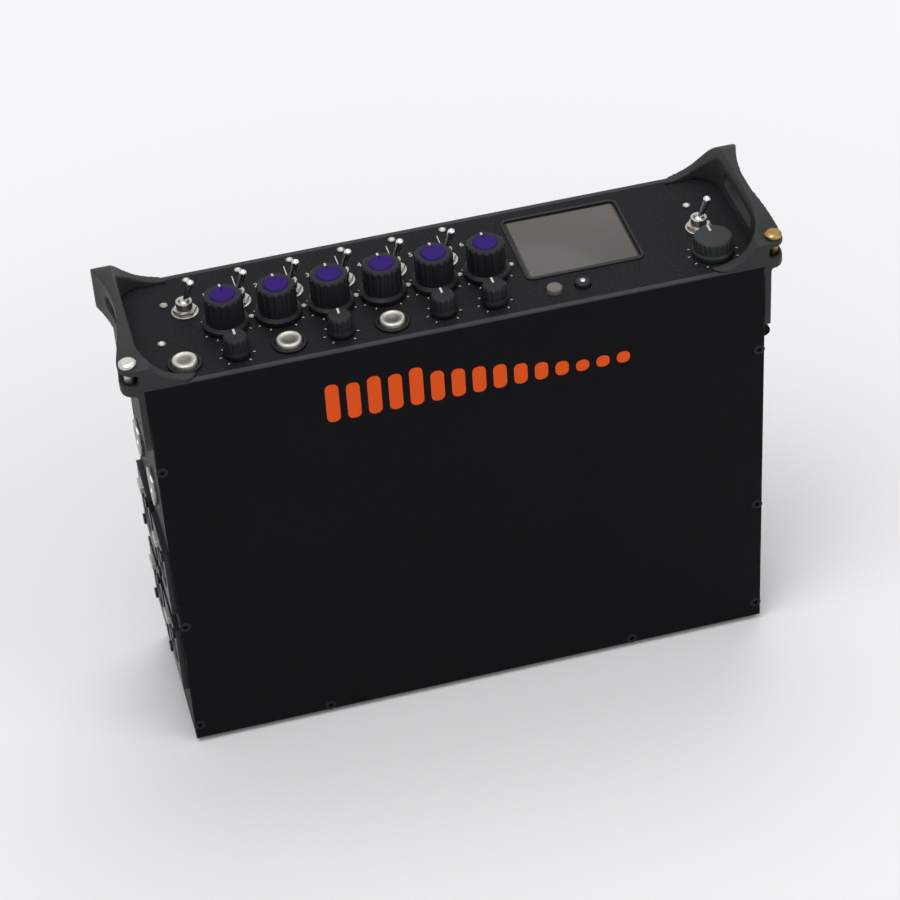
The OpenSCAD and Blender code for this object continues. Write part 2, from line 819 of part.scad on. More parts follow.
// Slot for a socket's release latch, through the flange and the side panel
module xlr_latch_slot(y, z, deep_x) {
    slab([-side_x - xlr_flange_t - over, y - latch_w / 2 - gap, z + latch_up - latch_h / 2 - gap],
         [deep_x, y + latch_w / 2 + gap, z + latch_up + latch_h / 2 + gap]);
}

module xlr_shells() {
    flange_x = -side_x - xlr_flange_t;
    color("#2a2a2e")
        for (y = xlr_y, z = xlr_z)
            difference() {
                union() {
                    slab([flange_x, y - xlr_w / 2, z - xlr_h / 2], [-side_x, y + xlr_w / 2, z + xlr_h / 2]);
                    translate([flange_x, y, z])
                        facing_right() cylinder(d = xlr_barrel_d, h = xlr_depth + xlr_flange_t);
                }
                translate([flange_x - over, y, z])
                    facing_right() cylinder(d = xlr_bore_d, h = xlr_depth + xlr_flange_t - 2 + over);
                xlr_latch_slot(y, z, -side_x + 3);
                for (s = [-1, 1]) translate([flange_x - over, y + s * 10, z - s * 12.5])
                    facing_right() cylinder(d = small_d, h = xlr_flange_t + 2 * over);
            }
}

// Contact carriers with three holes each, standing in the large sockets
module xlr_inserts() {
    recess = 1.5;
    insert_d = 16.2;
    color("#101012")
        for (y = xlr_y, z = xlr_z)
            translate([-side_x - xlr_flange_t + recess, y, z]) facing_right()
                difference() {
                    cylinder(d = insert_d, h = xlr_depth + xlr_flange_t - 2 - recess);
                    for (a = [0, 120, 240]) rotate([0, 0, a])
                        translate([4.9, 0, -over]) cylinder(d = 2.6, h = 11);
                }
}

// Release latch: a tab in front and a tongue that slides in its slot
module xlr_latch(i) {
    y = xlr_y[(i - 1) % 2];
    z = xlr_z[floor((i - 1) / 2)] + latch_up;
    color("#b5b5b2")
        slab([-side_x - xlr_flange_t - 1.6, y - latch_w / 2, z - latch_h / 2],
             [-side_x + 2, y + latch_w / 2, z + latch_h / 2]);
}

// Round panel socket facing out along X on side s: ring, body and holes for the contacts
module round_socket(s, y, z, ring_d, ring_h, face_d, contacts) {
    recess = 1;
    translate([s * side_x, y, z]) rotate([0, s * 90, 0])
        difference() {
            union() {
                cylinder(d = ring_d, h = ring_h);
                translate([0, 0, -socket_l]) cylinder(d = mini_body_d, h = socket_l + 0.2);
            }
            translate([0, 0, ring_h - recess]) cylinder(d = face_d, h = recess + over);
            for (i = [1:contacts]) rotate([0, 0, i * 360 / contacts])
                translate([face_d / 2 - 2, 0, ring_h - recess - 7]) cylinder(d = 1.3, h = 8, $fn = 16);
        }
}

module mini_sockets() {
    color("#6f7174") {
        for (y = [-jack_y, jack_y]) {
            round_socket(-1, y, left_mini_z, mini_flange_d, 1.6, mini_face_d, 3);
            round_socket(1, y, right_mini_z, mini_flange_d, 1.6, mini_face_d, 3);
        }
        round_socket(1, jack_y, jack_z, mini_flange_d, 2.4, mini_face_d, 4);
    }
}

module timecode_jacks() {
    color("#b9babb")
        for (y = [-jack_y, jack_y])
            round_socket(1, y, timecode_z, timecode_ring_d, 3.4, mini_face_d - 1.4, 5);
}

// Long socket for a headphone plug
module headphone_socket() {
    nut_t = 2;
    color("#8c8d8f")
        translate([side_x, -jack_y, jack_z]) facing_right()
            difference() {
                union() {
                    cylinder(d = 14, h = nut_t);
                    translate([0, 0, -jack_depth]) cylinder(d = mini_body_d, h = jack_depth + 0.2);
                }
                translate([0, 0, nut_t - jack_depth]) cylinder(d = jack_bore_d, h = jack_depth + over);
            }
}

// Tray for two rows of three cells, with a faceplate and a finger lip
module battery_sled() {
    w = sled_w / 2;
    lip_w = 24;
    lip_z = sled_z - 3 + face_h - 5;
    color("#232327") {
        difference() {
            slab([sled_back_x, -w, sled_z], [face_x, w, sled_z + sled_wall_h]);
            slab([sled_back_x + sled_t, -w + sled_t, sled_z + sled_t],
                 [face_x - sled_t, w - sled_t, sled_z + sled_wall_h + over]);
        }
        slab([face_x, -face_w / 2, sled_z - 3], [face_x + face_t, face_w / 2, sled_z - 3 + face_h]);
        slab([face_x + face_t - 0.2, -lip_w / 2, lip_z], [face_x + face_t + 2.4, lip_w / 2, lip_z + 2]);
    }
}

module battery_cells() {
    color("#7c8a52")
        for (k = [-1:1], n = [0, 1])
            translate([sled_back_x + sled_t + cell_gap + n * (cell_l + cell_gap), k * cell_pitch,
                       sled_z + sled_t + cell_d / 2 + 0.05])
                facing_right() {
                    cylinder(d = cell_d, h = cell_l - 1);
                    translate([0, 0, cell_l - 1.2]) cylinder(d = 5.5, h = 1.2);
                }
}

// Door that hangs from its hinge at the top, with a finger lip at the bottom
module card_door() {
    w = door_w / 2;
    out_x = door_in_x + door_t;
    low_z = hinge_z - door_h;
    color("#1c1c20")
        difference() {
            union() {
                slab([door_in_x, -w, low_z], [out_x, w, hinge_z]);
                slab([out_x - 0.2, -8, low_z], [out_x + 1.8, 8, low_z + 2]);
                translate([hinge_x, -w, hinge_z]) facing_back() cylinder(d = barrel_d, h = door_w);
            }
            translate([hinge_x, -w - over, hinge_z])
                facing_back() cylinder(r = hinge_pin_d / 2 + run, h = door_w + 2 * over);
        }
}

module memory_cards() {
    color("#30343c")
        for (z = card_z)
            slab([card_x - card_l, card_y - card_w / 2, z], [card_x, card_y + card_w / 2, z + card_t]);
}

// Control board, main board, input board and the cage that takes the cards
module circuit_boards() {
    cage_z = card_z[1] - 3;
    color("#1f5a3c") {
        slab([-inner_x + 3, -inner_y + 1, board_z], [inner_x - 3, inner_y - 1, board_z + board_t]);
        slab([main_x[0], main_y - board_t, main_z[0]], [main_x[1], main_y, main_z[1]]);
        slab([-side_x + xlr_depth, -inner_y + 1, xlr_z[0] - 20],
             [-side_x + xlr_depth + board_t, inner_y - 1, xlr_z[1] + 20]);
    }
    color("#8f9296") difference() {
        slab([cage_end_x, card_y - card_w / 2 - 1.5, cage_z], [cage_x, main_y - board_t, cage_z + cage_h]);
        for (z = card_z)
            slab([card_x - card_l - fit, card_y - card_w / 2 - fit, z - fit],
                 [cage_x + over, card_y + card_w / 2 + fit, z + card_t + fit]);
    }
}

control_panel();
front_cover();
back_cover();
left_panel();
right_panel();
base_plate();
left_guard();
right_guard();
feet();
strap_pins();
case_screws();
fader_knob(1);  // fader_knob_1
fader_knob(2);  // fader_knob_2
fader_knob(3);  // fader_knob_3
fader_knob(4);  // fader_knob_4
fader_knob(5);  // fader_knob_5
fader_knob(6);  // fader_knob_6
fader_cap(1);  // fader_cap_1
fader_cap(2);  // fader_cap_2
fader_cap(3);  // fader_cap_3
fader_cap(4);  // fader_cap_4
fader_cap(5);  // fader_cap_5
fader_cap(6);  // fader_cap_6
fader_pots();
channel_lever(1);  // toggle_lever_1
channel_lever(2);  // toggle_lever_2
channel_lever(3);  // toggle_lever_3
channel_lever(4);  // toggle_lever_4
channel_lever(5);  // toggle_lever_5
channel_lever(6);  // toggle_lever_6
power_lever();
toggle_bushings();
select_button(1);  // select_button_1
select_button(2);  // select_button_2
select_button(3);  // select_button_3
trim_knob(1);  // trim_knob_1
trim_knob(2);  // trim_knob_2
trim_knob(3);  // trim_knob_3
trim_knob(4);  // trim_knob_4
record_key();
menu_key(1);  // menu_key_1
menu_key(2);  // menu_key_2
switch_bodies();
display_window();
display_module();
headphone_knob();
xlr_shells();
xlr_inserts();
xlr_latch(1);  // xlr_latch_1
xlr_latch(2);  // xlr_latch_2
xlr_latch(3);  // xlr_latch_3
xlr_latch(4);  // xlr_latch_4
mini_sockets();
timecode_jacks();
headphone_socket();
battery_sled();
battery_cells();
card_door();
memory_cards();
circuit_boards();
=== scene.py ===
"""Portable field recorder: finishes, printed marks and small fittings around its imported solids."""

import functools
import json
import math

import bmesh
import bpy
from mathutils import Euler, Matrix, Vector


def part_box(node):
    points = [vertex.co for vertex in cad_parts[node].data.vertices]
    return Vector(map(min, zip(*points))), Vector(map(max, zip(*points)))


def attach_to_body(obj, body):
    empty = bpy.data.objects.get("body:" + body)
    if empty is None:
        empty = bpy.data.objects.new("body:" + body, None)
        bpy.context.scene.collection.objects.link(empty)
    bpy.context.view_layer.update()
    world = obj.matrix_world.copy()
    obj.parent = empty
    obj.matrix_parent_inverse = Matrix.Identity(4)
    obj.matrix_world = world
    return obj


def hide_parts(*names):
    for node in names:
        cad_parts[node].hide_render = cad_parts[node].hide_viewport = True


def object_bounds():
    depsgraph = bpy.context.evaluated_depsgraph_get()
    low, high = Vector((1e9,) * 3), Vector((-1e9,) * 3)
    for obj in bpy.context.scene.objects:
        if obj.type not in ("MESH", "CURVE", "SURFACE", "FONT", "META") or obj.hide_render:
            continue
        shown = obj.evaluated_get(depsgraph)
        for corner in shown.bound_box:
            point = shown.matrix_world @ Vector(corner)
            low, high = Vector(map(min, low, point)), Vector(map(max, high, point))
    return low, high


bl_info = {
    "name": "Portable Field Recorder",
    "version": (1, 0, 0),
    "blender": (4, 5, 0),
    "location": "View3D > Sidebar > Recorder",
    "description": "Dresses the field recorder: finishes, prints, lights and small fittings",
    "category": "Object",
}

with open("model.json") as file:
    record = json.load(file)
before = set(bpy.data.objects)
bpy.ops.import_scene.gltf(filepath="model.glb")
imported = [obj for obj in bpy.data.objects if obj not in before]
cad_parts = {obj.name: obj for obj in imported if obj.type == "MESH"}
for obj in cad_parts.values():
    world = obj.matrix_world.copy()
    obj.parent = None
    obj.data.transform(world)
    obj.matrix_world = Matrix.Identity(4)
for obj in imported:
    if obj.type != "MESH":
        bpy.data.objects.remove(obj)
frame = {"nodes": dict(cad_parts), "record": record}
CAD_LOW, CAD_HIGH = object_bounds()
MM = 0.001

# Faces that the pieces are placed from
PANEL_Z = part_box("control_panel")[1].z
COVER_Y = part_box("front_cover")[0].y
BACK_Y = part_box("back_cover")[1].y
SIDE_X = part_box("front_cover")[1].x

# Corners of a CAD mesh that are nearer than this are one corner
WELD = 0.002 * MM

JOINTS = {joint["name"]: joint for joint in frame["record"]["behaviour"]["joints"]}
MOUNTS = {mount["name"]: mount for mount in frame["record"]["mounts"]}


def centre(node):
    """Middle of a node's box."""
    low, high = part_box(node)
    return (low + high) / 2


def family(stem):
    """Names of like nodes in order, such as fader_knob_1 to fader_knob_6."""
    return sorted(name for name in frame["nodes"] if name.startswith(stem))


def pivot(joint):
    """A hinge's place on the control panel."""
    place = Vector(JOINTS[joint]["pos_m"])
    return Vector((place.x, place.y, PANEL_Z))


def on_panel(node):
    """A knob's or button's place on the control panel."""
    middle = centre(node)
    return Vector((middle.x, middle.y, PANEL_Z))


def beside(places, x, y):
    """Places on the control panel, x and y millimetres from others."""
    return [place + Vector((x, y, 0)) * MM for place in places]


def pattern(name):
    """The middle of a mount's holes or sockets, and half their spacing each way."""
    dims = MOUNTS[name]["dims"]
    half = Vector((dims["spacing_x_mm"] / 2, dims["spacing_y_mm"] / 2)) * MM
    return Vector(MOUNTS[name]["pos_m"]), half


# Places of the controls on the panel
FADERS = [on_panel(name) for name in family("fader_knob")]
TRIMS = [on_panel(name) for name in family("trim_knob")]
BUTTONS = [on_panel(name) for name in family("select_button")]
TOGGLES = [pivot(f"toggle_{i}_throw") for i in range(1, len(FADERS) + 1)]
POWER = pivot("power_throw")
PHONES = pivot("headphone_turn")


# ---------------------------------------------------------------- settings


def linear(code):
    """sRGB hex, such as #4B2A8C, as the linear colour that a shader takes."""
    parts = [int(code[i:i + 2], 16) / 255 for i in (1, 3, 5)]
    return (*[c / 12.92 if c <= 0.04045 else ((c + 0.055) / 1.055) ** 2.4 for c in parts], 1.0)


def colour(name, description, code):
    """A colour that the user can change, its default given as sRGB hex."""
    return bpy.props.FloatVectorProperty(
        name=name, description=description, default=linear(code), min=0, max=1, size=4, subtype="COLOR")


def length(name, description, default, low, high):
    """A length that the user can change, with its default and limits in millimetres."""
    return bpy.props.FloatProperty(
        name=name, description=description, default=default * MM, min=low * MM, max=high * MM,
        unit="LENGTH", precision=5)


class RecorderFinish(bpy.types.PropertyGroup):
    """Colours of the recorder's finishes."""

    guard: colour("Guards", "Moulded nylon of the guards", "#2D2C2E")
    # The covers are a near-black powder coat, set darker than the sides partly as painted shade for the shade
    # on the front cover.
    cover: colour("Covers", "Powder coat of the two covers", "#08080A")
    panel: colour("Panel", "Textured paint of the control panel", "#151517")
    side: colour("Sides", "Powder coat of side panels and base", "#0D0D0F")
    print_orange: colour("Orange print", "Bars on the cover", "#E8530A")
    print_white: colour("White print", "Ticks and numbers", "#C9C9C4")
    cap: colour("Caps", "Moulded caps of the faders", "#2C1066")
    display: colour("Display", "Display at rest", "#504D49")


class RecorderSizes(bpy.types.PropertyGroup):
    """Sizes of the marks and small fittings."""

    edge: length("Edge radius", "Rounding of machined edges", 0.35, 0.05, 1.5)
    print_h: length("Print thickness", "Height of the screen print", 0.06, 0.02, 0.3)
    tick_l: length("Tick length", "Length of a scale tick", 0.9, 0.5, 3)
    lens_d: length("Light diameter", "Diameter of a panel light's lens", 2.1, 1, 4)
    bar_w: length("Bar width", "Width of a printed bar on the cover", 5.2, 1, 10)
    bar_pitch: length("Bar pitch", "Distance between the printed bars", 8, 2, 20)


def finish_of():
    """The colours that the user set."""
    return bpy.context.scene.recorder_finish


def sizes():
    """The sizes that the user set."""
    return bpy.context.scene.recorder_sizes


# ---------------------------------------------------------------- materials


def connect(tree, node, inputs):
    """Sets a node's inputs. A node or socket is linked, a hex colour made linear, the rest are values."""
    for key, value in inputs.items():
        if isinstance(value, bpy.types.Node):
            value = next(socket for socket in value.outputs if socket.enabled)
        if isinstance(value, bpy.types.NodeSocket):
            tree.links.new(value, node.inputs[key])
        else:
            node.inputs[key].default_value = linear(value) if isinstance(value, str) else value


def add_node(tree, kind, inputs, **settings):
    """Adds a shader node with its settings and inputs."""
    made = tree.nodes.new(f"ShaderNode{kind}")
    for key, value in settings.items():
        setattr(made, key, value)
    connect(tree, made, inputs)
    return made


def shaded(material, **sockets):
    """Sets sockets of a material's shader to values, or to the nodes that vary them."""
    tree = material.node_tree
    connect(
        tree, tree.nodes["Principled BSDF"], {key.replace("_", " "): value for key, value in sockets.items()})
    return material


def new_material(name, base, roughness, **sockets):
    """A material with plain values, the call that adds a node to it, and the piece's own coordinates."""
    material = bpy.data.materials.new(name)
    material.use_nodes = True
    shaded(material, Base_Color=base, Roughness=roughness, **sockets)
    add = functools.partial(add_node, material.node_tree)
    return material, add, add("TexCoord", {}).outputs["Object"]


def layered(add, base, *layers):
    """A base colour with others laid over it in turn, each given as (how much, colour)."""
    for factor, over in layers:
        base = add("Mix", {0: factor, 6: base, 7: over}, data_type="RGBA")
    return base


def from_middle(add, value, low, high):
    """How far a coordinate is from the middle of low and high, and half the distance between them."""
    offset = add("Math", {0: value, 1: -(low + high) / 2}, operation="ADD")
    return add("Math", {0: offset}, operation="ABSOLUTE"), (high - low) / 2


def box_edge(add, place, box, width):
    """1 on the edges of a box, fading over width metres towards its faces."""
    split = add("SeparateXYZ", {"Vector": place})
    near = []
    for axis in range(3):
        away, half = from_middle(add, split.outputs[axis], box[0][axis], box[1][axis])
        near.append(add("MapRange", {"Value": away, "From Min": half - width, "From Max": half}))
    pairs = [
        add("Math", {0: near[a], 1: near[b]}, operation="MULTIPLY") for a, b in ((0, 1), (0, 2), (1, 2))]
    first = add("Math", {0: pairs[0], 1: pairs[1]}, operation="MAXIMUM")
    return add("Math", {0: first, 1: pairs[2]}, operation="MAXIMUM")


def powder_coat(name, base, worn, box, texture, roughness, wear, painted_top_highlight=None):
    """Powder-coated aluminium: an orange-peel skin of texture metres, rubbed grey here and there on its edges.
    Where a lip colour is given, the top face and top edge fade into it: a painted highlight that stands in for
    the light the top edge catches."""
    material, add, place = new_material(name, base, roughness, Specular_IOR_Level=0.05)
    peel = add("TexNoise", {"Vector": place, "Scale": 1 / texture})
    clouds = add("TexNoise", {"Vector": place, "Scale": 1 / (38 * MM), "Detail": 3})
    knocks = add("TexNoise", {"Vector": place, "Scale": 1 / (16 * MM), "Detail": 6, "Roughness": 0.75})
    scuff = add("MapRange", {"Value": knocks, "From Min": 0.5, "From Max": 0.72, "To Max": wear})
    rubbed = add("Math", {0: box_edge(add, place, box, 0.8 * MM), 1: scuff}, operation="MULTIPLY")
    speckle = add("MapRange", {"Value": peel, "From Min": 0.35, "From Max": 0.7})
    dust = add("MapRange", {"Value": clouds, "From Min": 0.35, "From Max": 0.8, "To Max": 0.3})
    coat = layered(add, base, (speckle, worn), (dust, worn), (rubbed, "#77756F"))
    # Painted highlight: over the top 0.9 mm of height the coat fades into the lip colour, for the light on the
    # top edge.
    if painted_top_highlight:
        height = add("SeparateXYZ", {"Vector": place}).outputs[2]
        top = box[1].z
        top_highlight_band = add("MapRange", {"Value": height, "From Min": top - 0.9 * MM, "From Max": top - 0.3 * MM})
        coat = layered(add, coat, (top_highlight_band, painted_top_highlight))
    gloss = add("MapRange", {"Value": clouds, "To Min": roughness - 0.05, "To Max": roughness + 0.08})
    skin = add("Bump", {"Height": peel, "Distance": 0.05 * MM, "Strength": 0.6})
    return shaded(material, Base_Color=coat, Roughness=gloss, Normal=skin)


def moulded_nylon(name, base, box):
    """Glass-filled nylon from a spark-eroded mould: a fine even grain, paler where hands rub its edges.
    The grain is drawn at 0.4 mm, coarser than the real one, so that it shows."""
    material, add, place = new_material(name, base, 0.55, Specular_IOR_Level=0.15)
    grain = add("TexNoise", {"Vector": place, "Scale": 1 / (0.4 * MM)})
    clouds = add("TexNoise", {"Vector": place, "Scale": 1 / (14 * MM), "Detail": 4, "Roughness": 0.6})
    streak = add("MapRange", {"Value": clouds, "From Min": 0.38, "From Max": 0.7, "To Min": 0.1, "To Max": 0.8})
    rubbed = add("Math", {0: box_edge(add, place, box, 3 * MM), 1: streak}, operation="MULTIPLY")
    speckle = add("MapRange", {"Value": grain, "From Min": 0.3, "From Max": 0.75})
    warmth = add("MapRange", {"Value": clouds, "From Min": 0.35, "From Max": 0.75, "To Max": 0.5})
    body = layered(add, base, (speckle, "#36373A"), (warmth, "#3A3531"), (rubbed, "#4A4948"))
    gloss = add("MapRange", {"Value": clouds, "To Min": 0.46, "To Max": 0.62})
    skin = add("Bump", {"Height": grain, "Distance": 0.06 * MM, "Strength": 0.55})
    return shaded(material, Base_Color=body, Roughness=gloss, Normal=skin)


def moulded_abs(name, base, roughness, texture=0.25 * MM, depth=0.02 * MM, specular=0.2):
    """Moulded ABS: an even colour with a faint texture, and a little handling shine in patches."""
    material, add, place = new_material(name, base, roughness, Specular_IOR_Level=specular)
    patches = add("TexNoise", {"Vector": place, "Scale": 1 / (5 * MM), "Detail": 3, "Roughness": 0.6})
    gloss = add("MapRange", {"Value": patches, "To Min": roughness - 0.1, "To Max": roughness + 0.1})
    grain = add("TexNoise", {"Vector": place, "Scale": 1 / texture})
    skin = add("Bump", {"Height": grain, "Distance": depth, "Strength": 0.5})
    return shaded(material, Roughness=gloss, Normal=skin)


def plated_metal(name, base, roughness):
    """Nickel, chrome or another bright finish over metal, with fine handling marks in its gloss."""
    material, add, place = new_material(name, base, roughness, Metallic=1.0)
    marks = add("TexNoise", {"Vector": place, "Scale": 1 / (1.2 * MM), "Detail": 4, "Roughness": 0.6})
    gloss = add("MapRange", {"Value": marks, "To Min": roughness * 0.7, "To Max": roughness * 1.5})
    skin = add("Bump", {"Height": marks, "Distance": 0.01 * MM, "Strength": 0.25})
    return shaded(material, Roughness=gloss, Normal=skin)


def turned_pin_metal(name):
    """Turned pins, nickel-plated on the left and bare brass on the right, dulled by the strap's hook."""
    silver, brass = "#C4C3BF", "#9A7C4E"
    material, add, place = new_material(name, brass, 0.3, Metallic=1.0)
    across = add("SeparateXYZ", {"Vector": place}).outputs[0]
    right = add("Math", {0: across, 1: 0.0}, operation="GREATER_THAN")
    marks = add("TexNoise", {"Vector": place, "Scale": 1 / (1.2 * MM), "Detail": 4, "Roughness": 0.6})
    gloss = add("MapRange", {"Value": marks, "To Min": 0.22, "To Max": 0.42})
    return shaded(material, Base_Color=layered(add, silver, (right, brass)), Roughness=gloss)


def turned_aluminium(name, base, middle):
    """Faced on a lathe and clear anodised: fine rings round the axis, and a middle painted darker than the
    bright rim, as painted shade of the recessed centre.
    """
    material, add, place = new_material(name, base, 0.4, Metallic=0.85)
    axis = {"Location": (-middle.x, -middle.y, 0), "Scale": (1, 1, 0)}
    centred = add("Mapping", {"Vector": place, **axis})
    radius = add("VectorMath", {0: centred}, operation="LENGTH")
    # Painted shade: inside 2.2 mm the colour is darker, for the shade in the button's recessed centre; by 3.6
    # mm it is the bright base colour.
    rim = add("MapRange", {"Value": radius, "From Min": 2.2 * MM, "From Max": 3.6 * MM})
    # A wave repeats three times in 1 / Scale, so the rings are 0.35 mm apart, coarser than real cutter marks
    rings = add(
        "TexWave", {"Vector": centred, "Scale": 1 / (1.1 * MM), "Distortion": 0.6, "Detail": 1},
        wave_type="RINGS", rings_direction="Z")
    smear = add("TexNoise", {"Vector": place, "Scale": 1 / (3 * MM), "Detail": 3})
    gloss = add("MapRange", {"Value": smear, "To Min": 0.34, "To Max": 0.52})
    skin = add("Bump", {"Height": rings.outputs["Fac"], "Distance": 0.02 * MM, "Strength": 0.35})
    return shaded(material, Base_Color=layered(add, "#6F6D67", (rim, base)), Roughness=gloss, Normal=skin)


def screen_ink(name, base):
    """Screen-printed epoxy ink: flat and a little chalky, thinner in tiny pinholes."""
    material, add, place = new_material(name, base, 0.55, Specular_IOR_Level=0.15)
    pits = add("TexNoise", {"Vector": place, "Scale": 1 / (0.3 * MM)})
    cover = add("MapRange", {"Value": pits, "From Min": 0.25, "From Max": 0.42, "To Min": 0.72})
    ink = add("Mix", {0: 1.0, 6: base, 7: cover}, data_type="RGBA", blend_type="MULTIPLY")
    swell = add("TexNoise", {"Vector": place, "Scale": 1 / (0.6 * MM)})
    skin = add("Bump", {"Height": swell, "Distance": 0.02 * MM, "Strength": 0.4})
    return shaded(material, Base_Color=ink, Normal=skin)


def clear_lens(name, base, painted_glow):
    """Cast epoxy or acrylic: clear gloss over a slightly cloudy body, with a painted glow where the glow
    strength is above 0: the lenses are not switched on, and the glow stands in for light they catch.
    """
    # The emission is a painted glow, not a lit light.
    material, add, place = new_material(
        name, base, 0.08, Coat_Weight=0.6, Coat_Roughness=0.05, Emission_Color=base, Emission_Strength=painted_glow)
    clouds = add("TexNoise", {"Vector": place, "Scale": 1 / (0.8 * MM)})
    haze = add("MapRange", {"Value": clouds, "To Max": 0.25})
    return shaded(material, Base_Color=layered(add, base, (haze, "#E8E6DF")))


def rubber(name, base):
    """Moulded nitrile rubber: dull, with a dusty bloom in patches."""
    material, add, place = new_material(name, base, 0.8, Specular_IOR_Level=0.3)
    patches = add("TexNoise", {"Vector": place, "Scale": 1 / (4 * MM), "Detail": 4})
    bloom = add("MapRange", {"Value": patches, "From Min": 0.4, "From Max": 0.75})
    grain = add("TexNoise", {"Vector": place, "Scale": 1 / (0.4 * MM)})
    skin = add("Bump", {"Height": grain, "Distance": 0.04 * MM, "Strength": 0.6})
    return shaded(material, Base_Color=layered(add, base, (bloom, "#33322F")), Normal=skin)


def display_glass(name, base):
    """Acrylic window with a black border printed behind it, over a reflective display with a fine dot grid,
    painted paler towards the back as painted light.
    """
    low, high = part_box("display_window")
    dot_pitch, border = 0.5 * MM, 1.1 * MM
    material, add, place = new_material(
        name, base, 0.36, Coat_Weight=0.12, Coat_Roughness=0.1, Specular_IOR_Level=0.2)
    split = add("SeparateXYZ", {"Vector": place})
    dots, inside = [], []
    for axis in range(2):
        cell = add("Math", {0: split.outputs[axis], 1: 1 / dot_pitch}, operation="MULTIPLY")
        part = add("Math", {0: cell}, operation="FRACT")
        dots.append(add("Math", {0: part, 1: 0.14}, operation="GREATER_THAN"))
        away, half = from_middle(add, split.outputs[axis], low[axis], high[axis])
        inside.append(add("Math", {0: away, 1: half - border}, operation="LESS_THAN"))
    # Painted light: the display is painted paler towards the back, for light falling across its face.
    painted_light_ramp = add("MapRange", {"Value": split.outputs[1], "From Min": low.y, "From Max": high.y})
    dot = add("Math", {0: dots[0], 1: dots[1]}, operation="MULTIPLY")
    lines = add("MapRange", {"Value": dot, "To Min": 0.9})
    field = layered(add, base, (painted_light_ramp, "#5A5651"))
    grid = add("Mix", {0: 1.0, 6: field, 7: lines}, data_type="RGBA", blend_type="MULTIPLY")
    window = add("Math", {0: inside[0], 1: inside[1]}, operation="MULTIPLY")
    smudge = add("TexNoise", {"Vector": place, "Scale": 1 / (9 * MM), "Detail": 4, "Roughness": 0.6})
    gloss = add("MapRange", {"Value": smudge, "To Min": 0.34, "To Max": 0.48})
    return shaded(material, Base_Color=layered(add, "#0B0B0C", (window, grid)), Roughness=gloss)


def circuit_board(name):
    """Solder mask over glass epoxy: green gloss with paler copper runs under it."""
    mask = "#1E5C3E"
    material, add, place = new_material(name, mask, 0.3)
    runs = add("TexBrick", {
        "Vector": place, "Scale": 1 / (9 * MM), "Color1": mask, "Color2": "#1A5238", "Mortar": "#2F7A52",
        "Mortar Size": 0.05})
    return shaded(material, Base_Color=runs)


def shrink_wrap(name, base, box):
    """Printed shrink film on a cell: glossy, with a dark band at one end."""
    material, add, place = new_material(name, base, 0.28, Coat_Weight=0.3)
    along = add("SeparateXYZ", {"Vector": place}).outputs[0]
    start = box[1].x - 18 * MM
    band = add("MapRange", {"Value": along, "From Min": start, "From Max": start + 1 * MM})
    folds = add("TexNoise", {"Vector": place, "Scale": 1 / (2.5 * MM)})
    skin = add("Bump", {"Height": folds, "Distance": 0.05 * MM, "Strength": 0.3})
    return shaded(material, Base_Color=layered(add, base, (band, "#222426")), Normal=skin)


def paint(piece, material):
    """Gives a piece its one material."""
    piece.data.materials.clear()
    piece.data.materials.append(material)


# ---------------------------------------------------------------- modelling tools


def clear_selection():
    """Deselects everything, so that an operator acts only on the new piece."""
    if bpy.context.object and bpy.context.object.mode != "OBJECT":
        bpy.ops.object.mode_set(mode="OBJECT")
    bpy.ops.object.select_all(action="DESELECT")


def only(piece):
    """Makes one piece the active and only selected one."""
    clear_selection()
    piece.select_set(True)
    bpy.context.view_layer.objects.active = piece


def settle(piece, name):
    """Names a piece and puts its place into its mesh, with the object at the origin."""
    only(piece)
    bpy.ops.object.transform_apply(location=True, rotation=True, scale=True)
    piece.name = name
    piece.data.name = name
    return piece


def attach(piece, body, material):
    """Paints a finished piece, and lets it ride on its body."""
    paint(piece, material)
    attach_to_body(piece, body)


def joined(parts, name):
    """Joins like parts into one piece."""
    clear_selection()
    for part in parts:
        part.select_set(True)
    bpy.context.view_layer.objects.active = parts[0]
    bpy.ops.object.join()
    return settle(bpy.context.object, name)


def copied(part, place, turn):
    """A copy of a part with its own mesh, moved and turned."""
    made = part.copy()
    made.data = part.data.copy()
    made.location = place
    made.rotation_euler = Euler(turn)
    bpy.context.collection.objects.link(made)
    return made


def repeated(part, places, name, turns=None):
    """Copies of a part modelled at the origin, one at each place, joined as one piece."""
    turns = turns or [(0, 0, 0)] * len(places)
    parts = [copied(part, place, turn) for place, turn in zip(places, turns)]
    bpy.data.objects.remove(part)
    return joined(parts, name)


def edit(piece, mode="FACE"):
    """Enters edit mode on one piece, where faces or edges are then selected."""
    only(piece)
    bpy.ops.object.mode_set(mode="EDIT")
    bpy.ops.mesh.select_mode(type=mode)


def leave():
    """Leaves edit mode."""
    bpy.ops.object.mode_set(mode="OBJECT")


def select_edges(piece, test):
    """In edit mode, selects only the edges for which test(start, end) holds."""
    bpy.ops.mesh.select_all(action="DESELECT")
    mesh = bmesh.from_edit_mesh(piece.data)
    for edge in mesh.edges:
        edge.select_set(bool(test(edge.verts[0].co, edge.verts[1].co)))
    bmesh.update_edit_mesh(piece.data)


def opened(plate, wall):
    """Opens a plate through its middle: its two flat faces are inset by wall metres and bridged."""
    edit(plate)
    bpy.ops.mesh.select_all(action="DESELECT")
    mesh = bmesh.from_edit_mesh(plate.data)
    for face in mesh.faces:
        face.select_set(abs(face.normal.z) > 0.9)
    mesh.select_flush_mode()
    bmesh.update_edit_mesh(plate.data)
    bpy.ops.mesh.inset(thickness=wall)
    bpy.ops.mesh.bridge_edge_loops()
    leave()
    return plate


def smoothed(piece):
    """Shades a piece smooth, apart from its sharp edges."""
    only(piece)
    bpy.ops.object.shade_smooth_by_angle(angle=math.radians(40))
    return piece


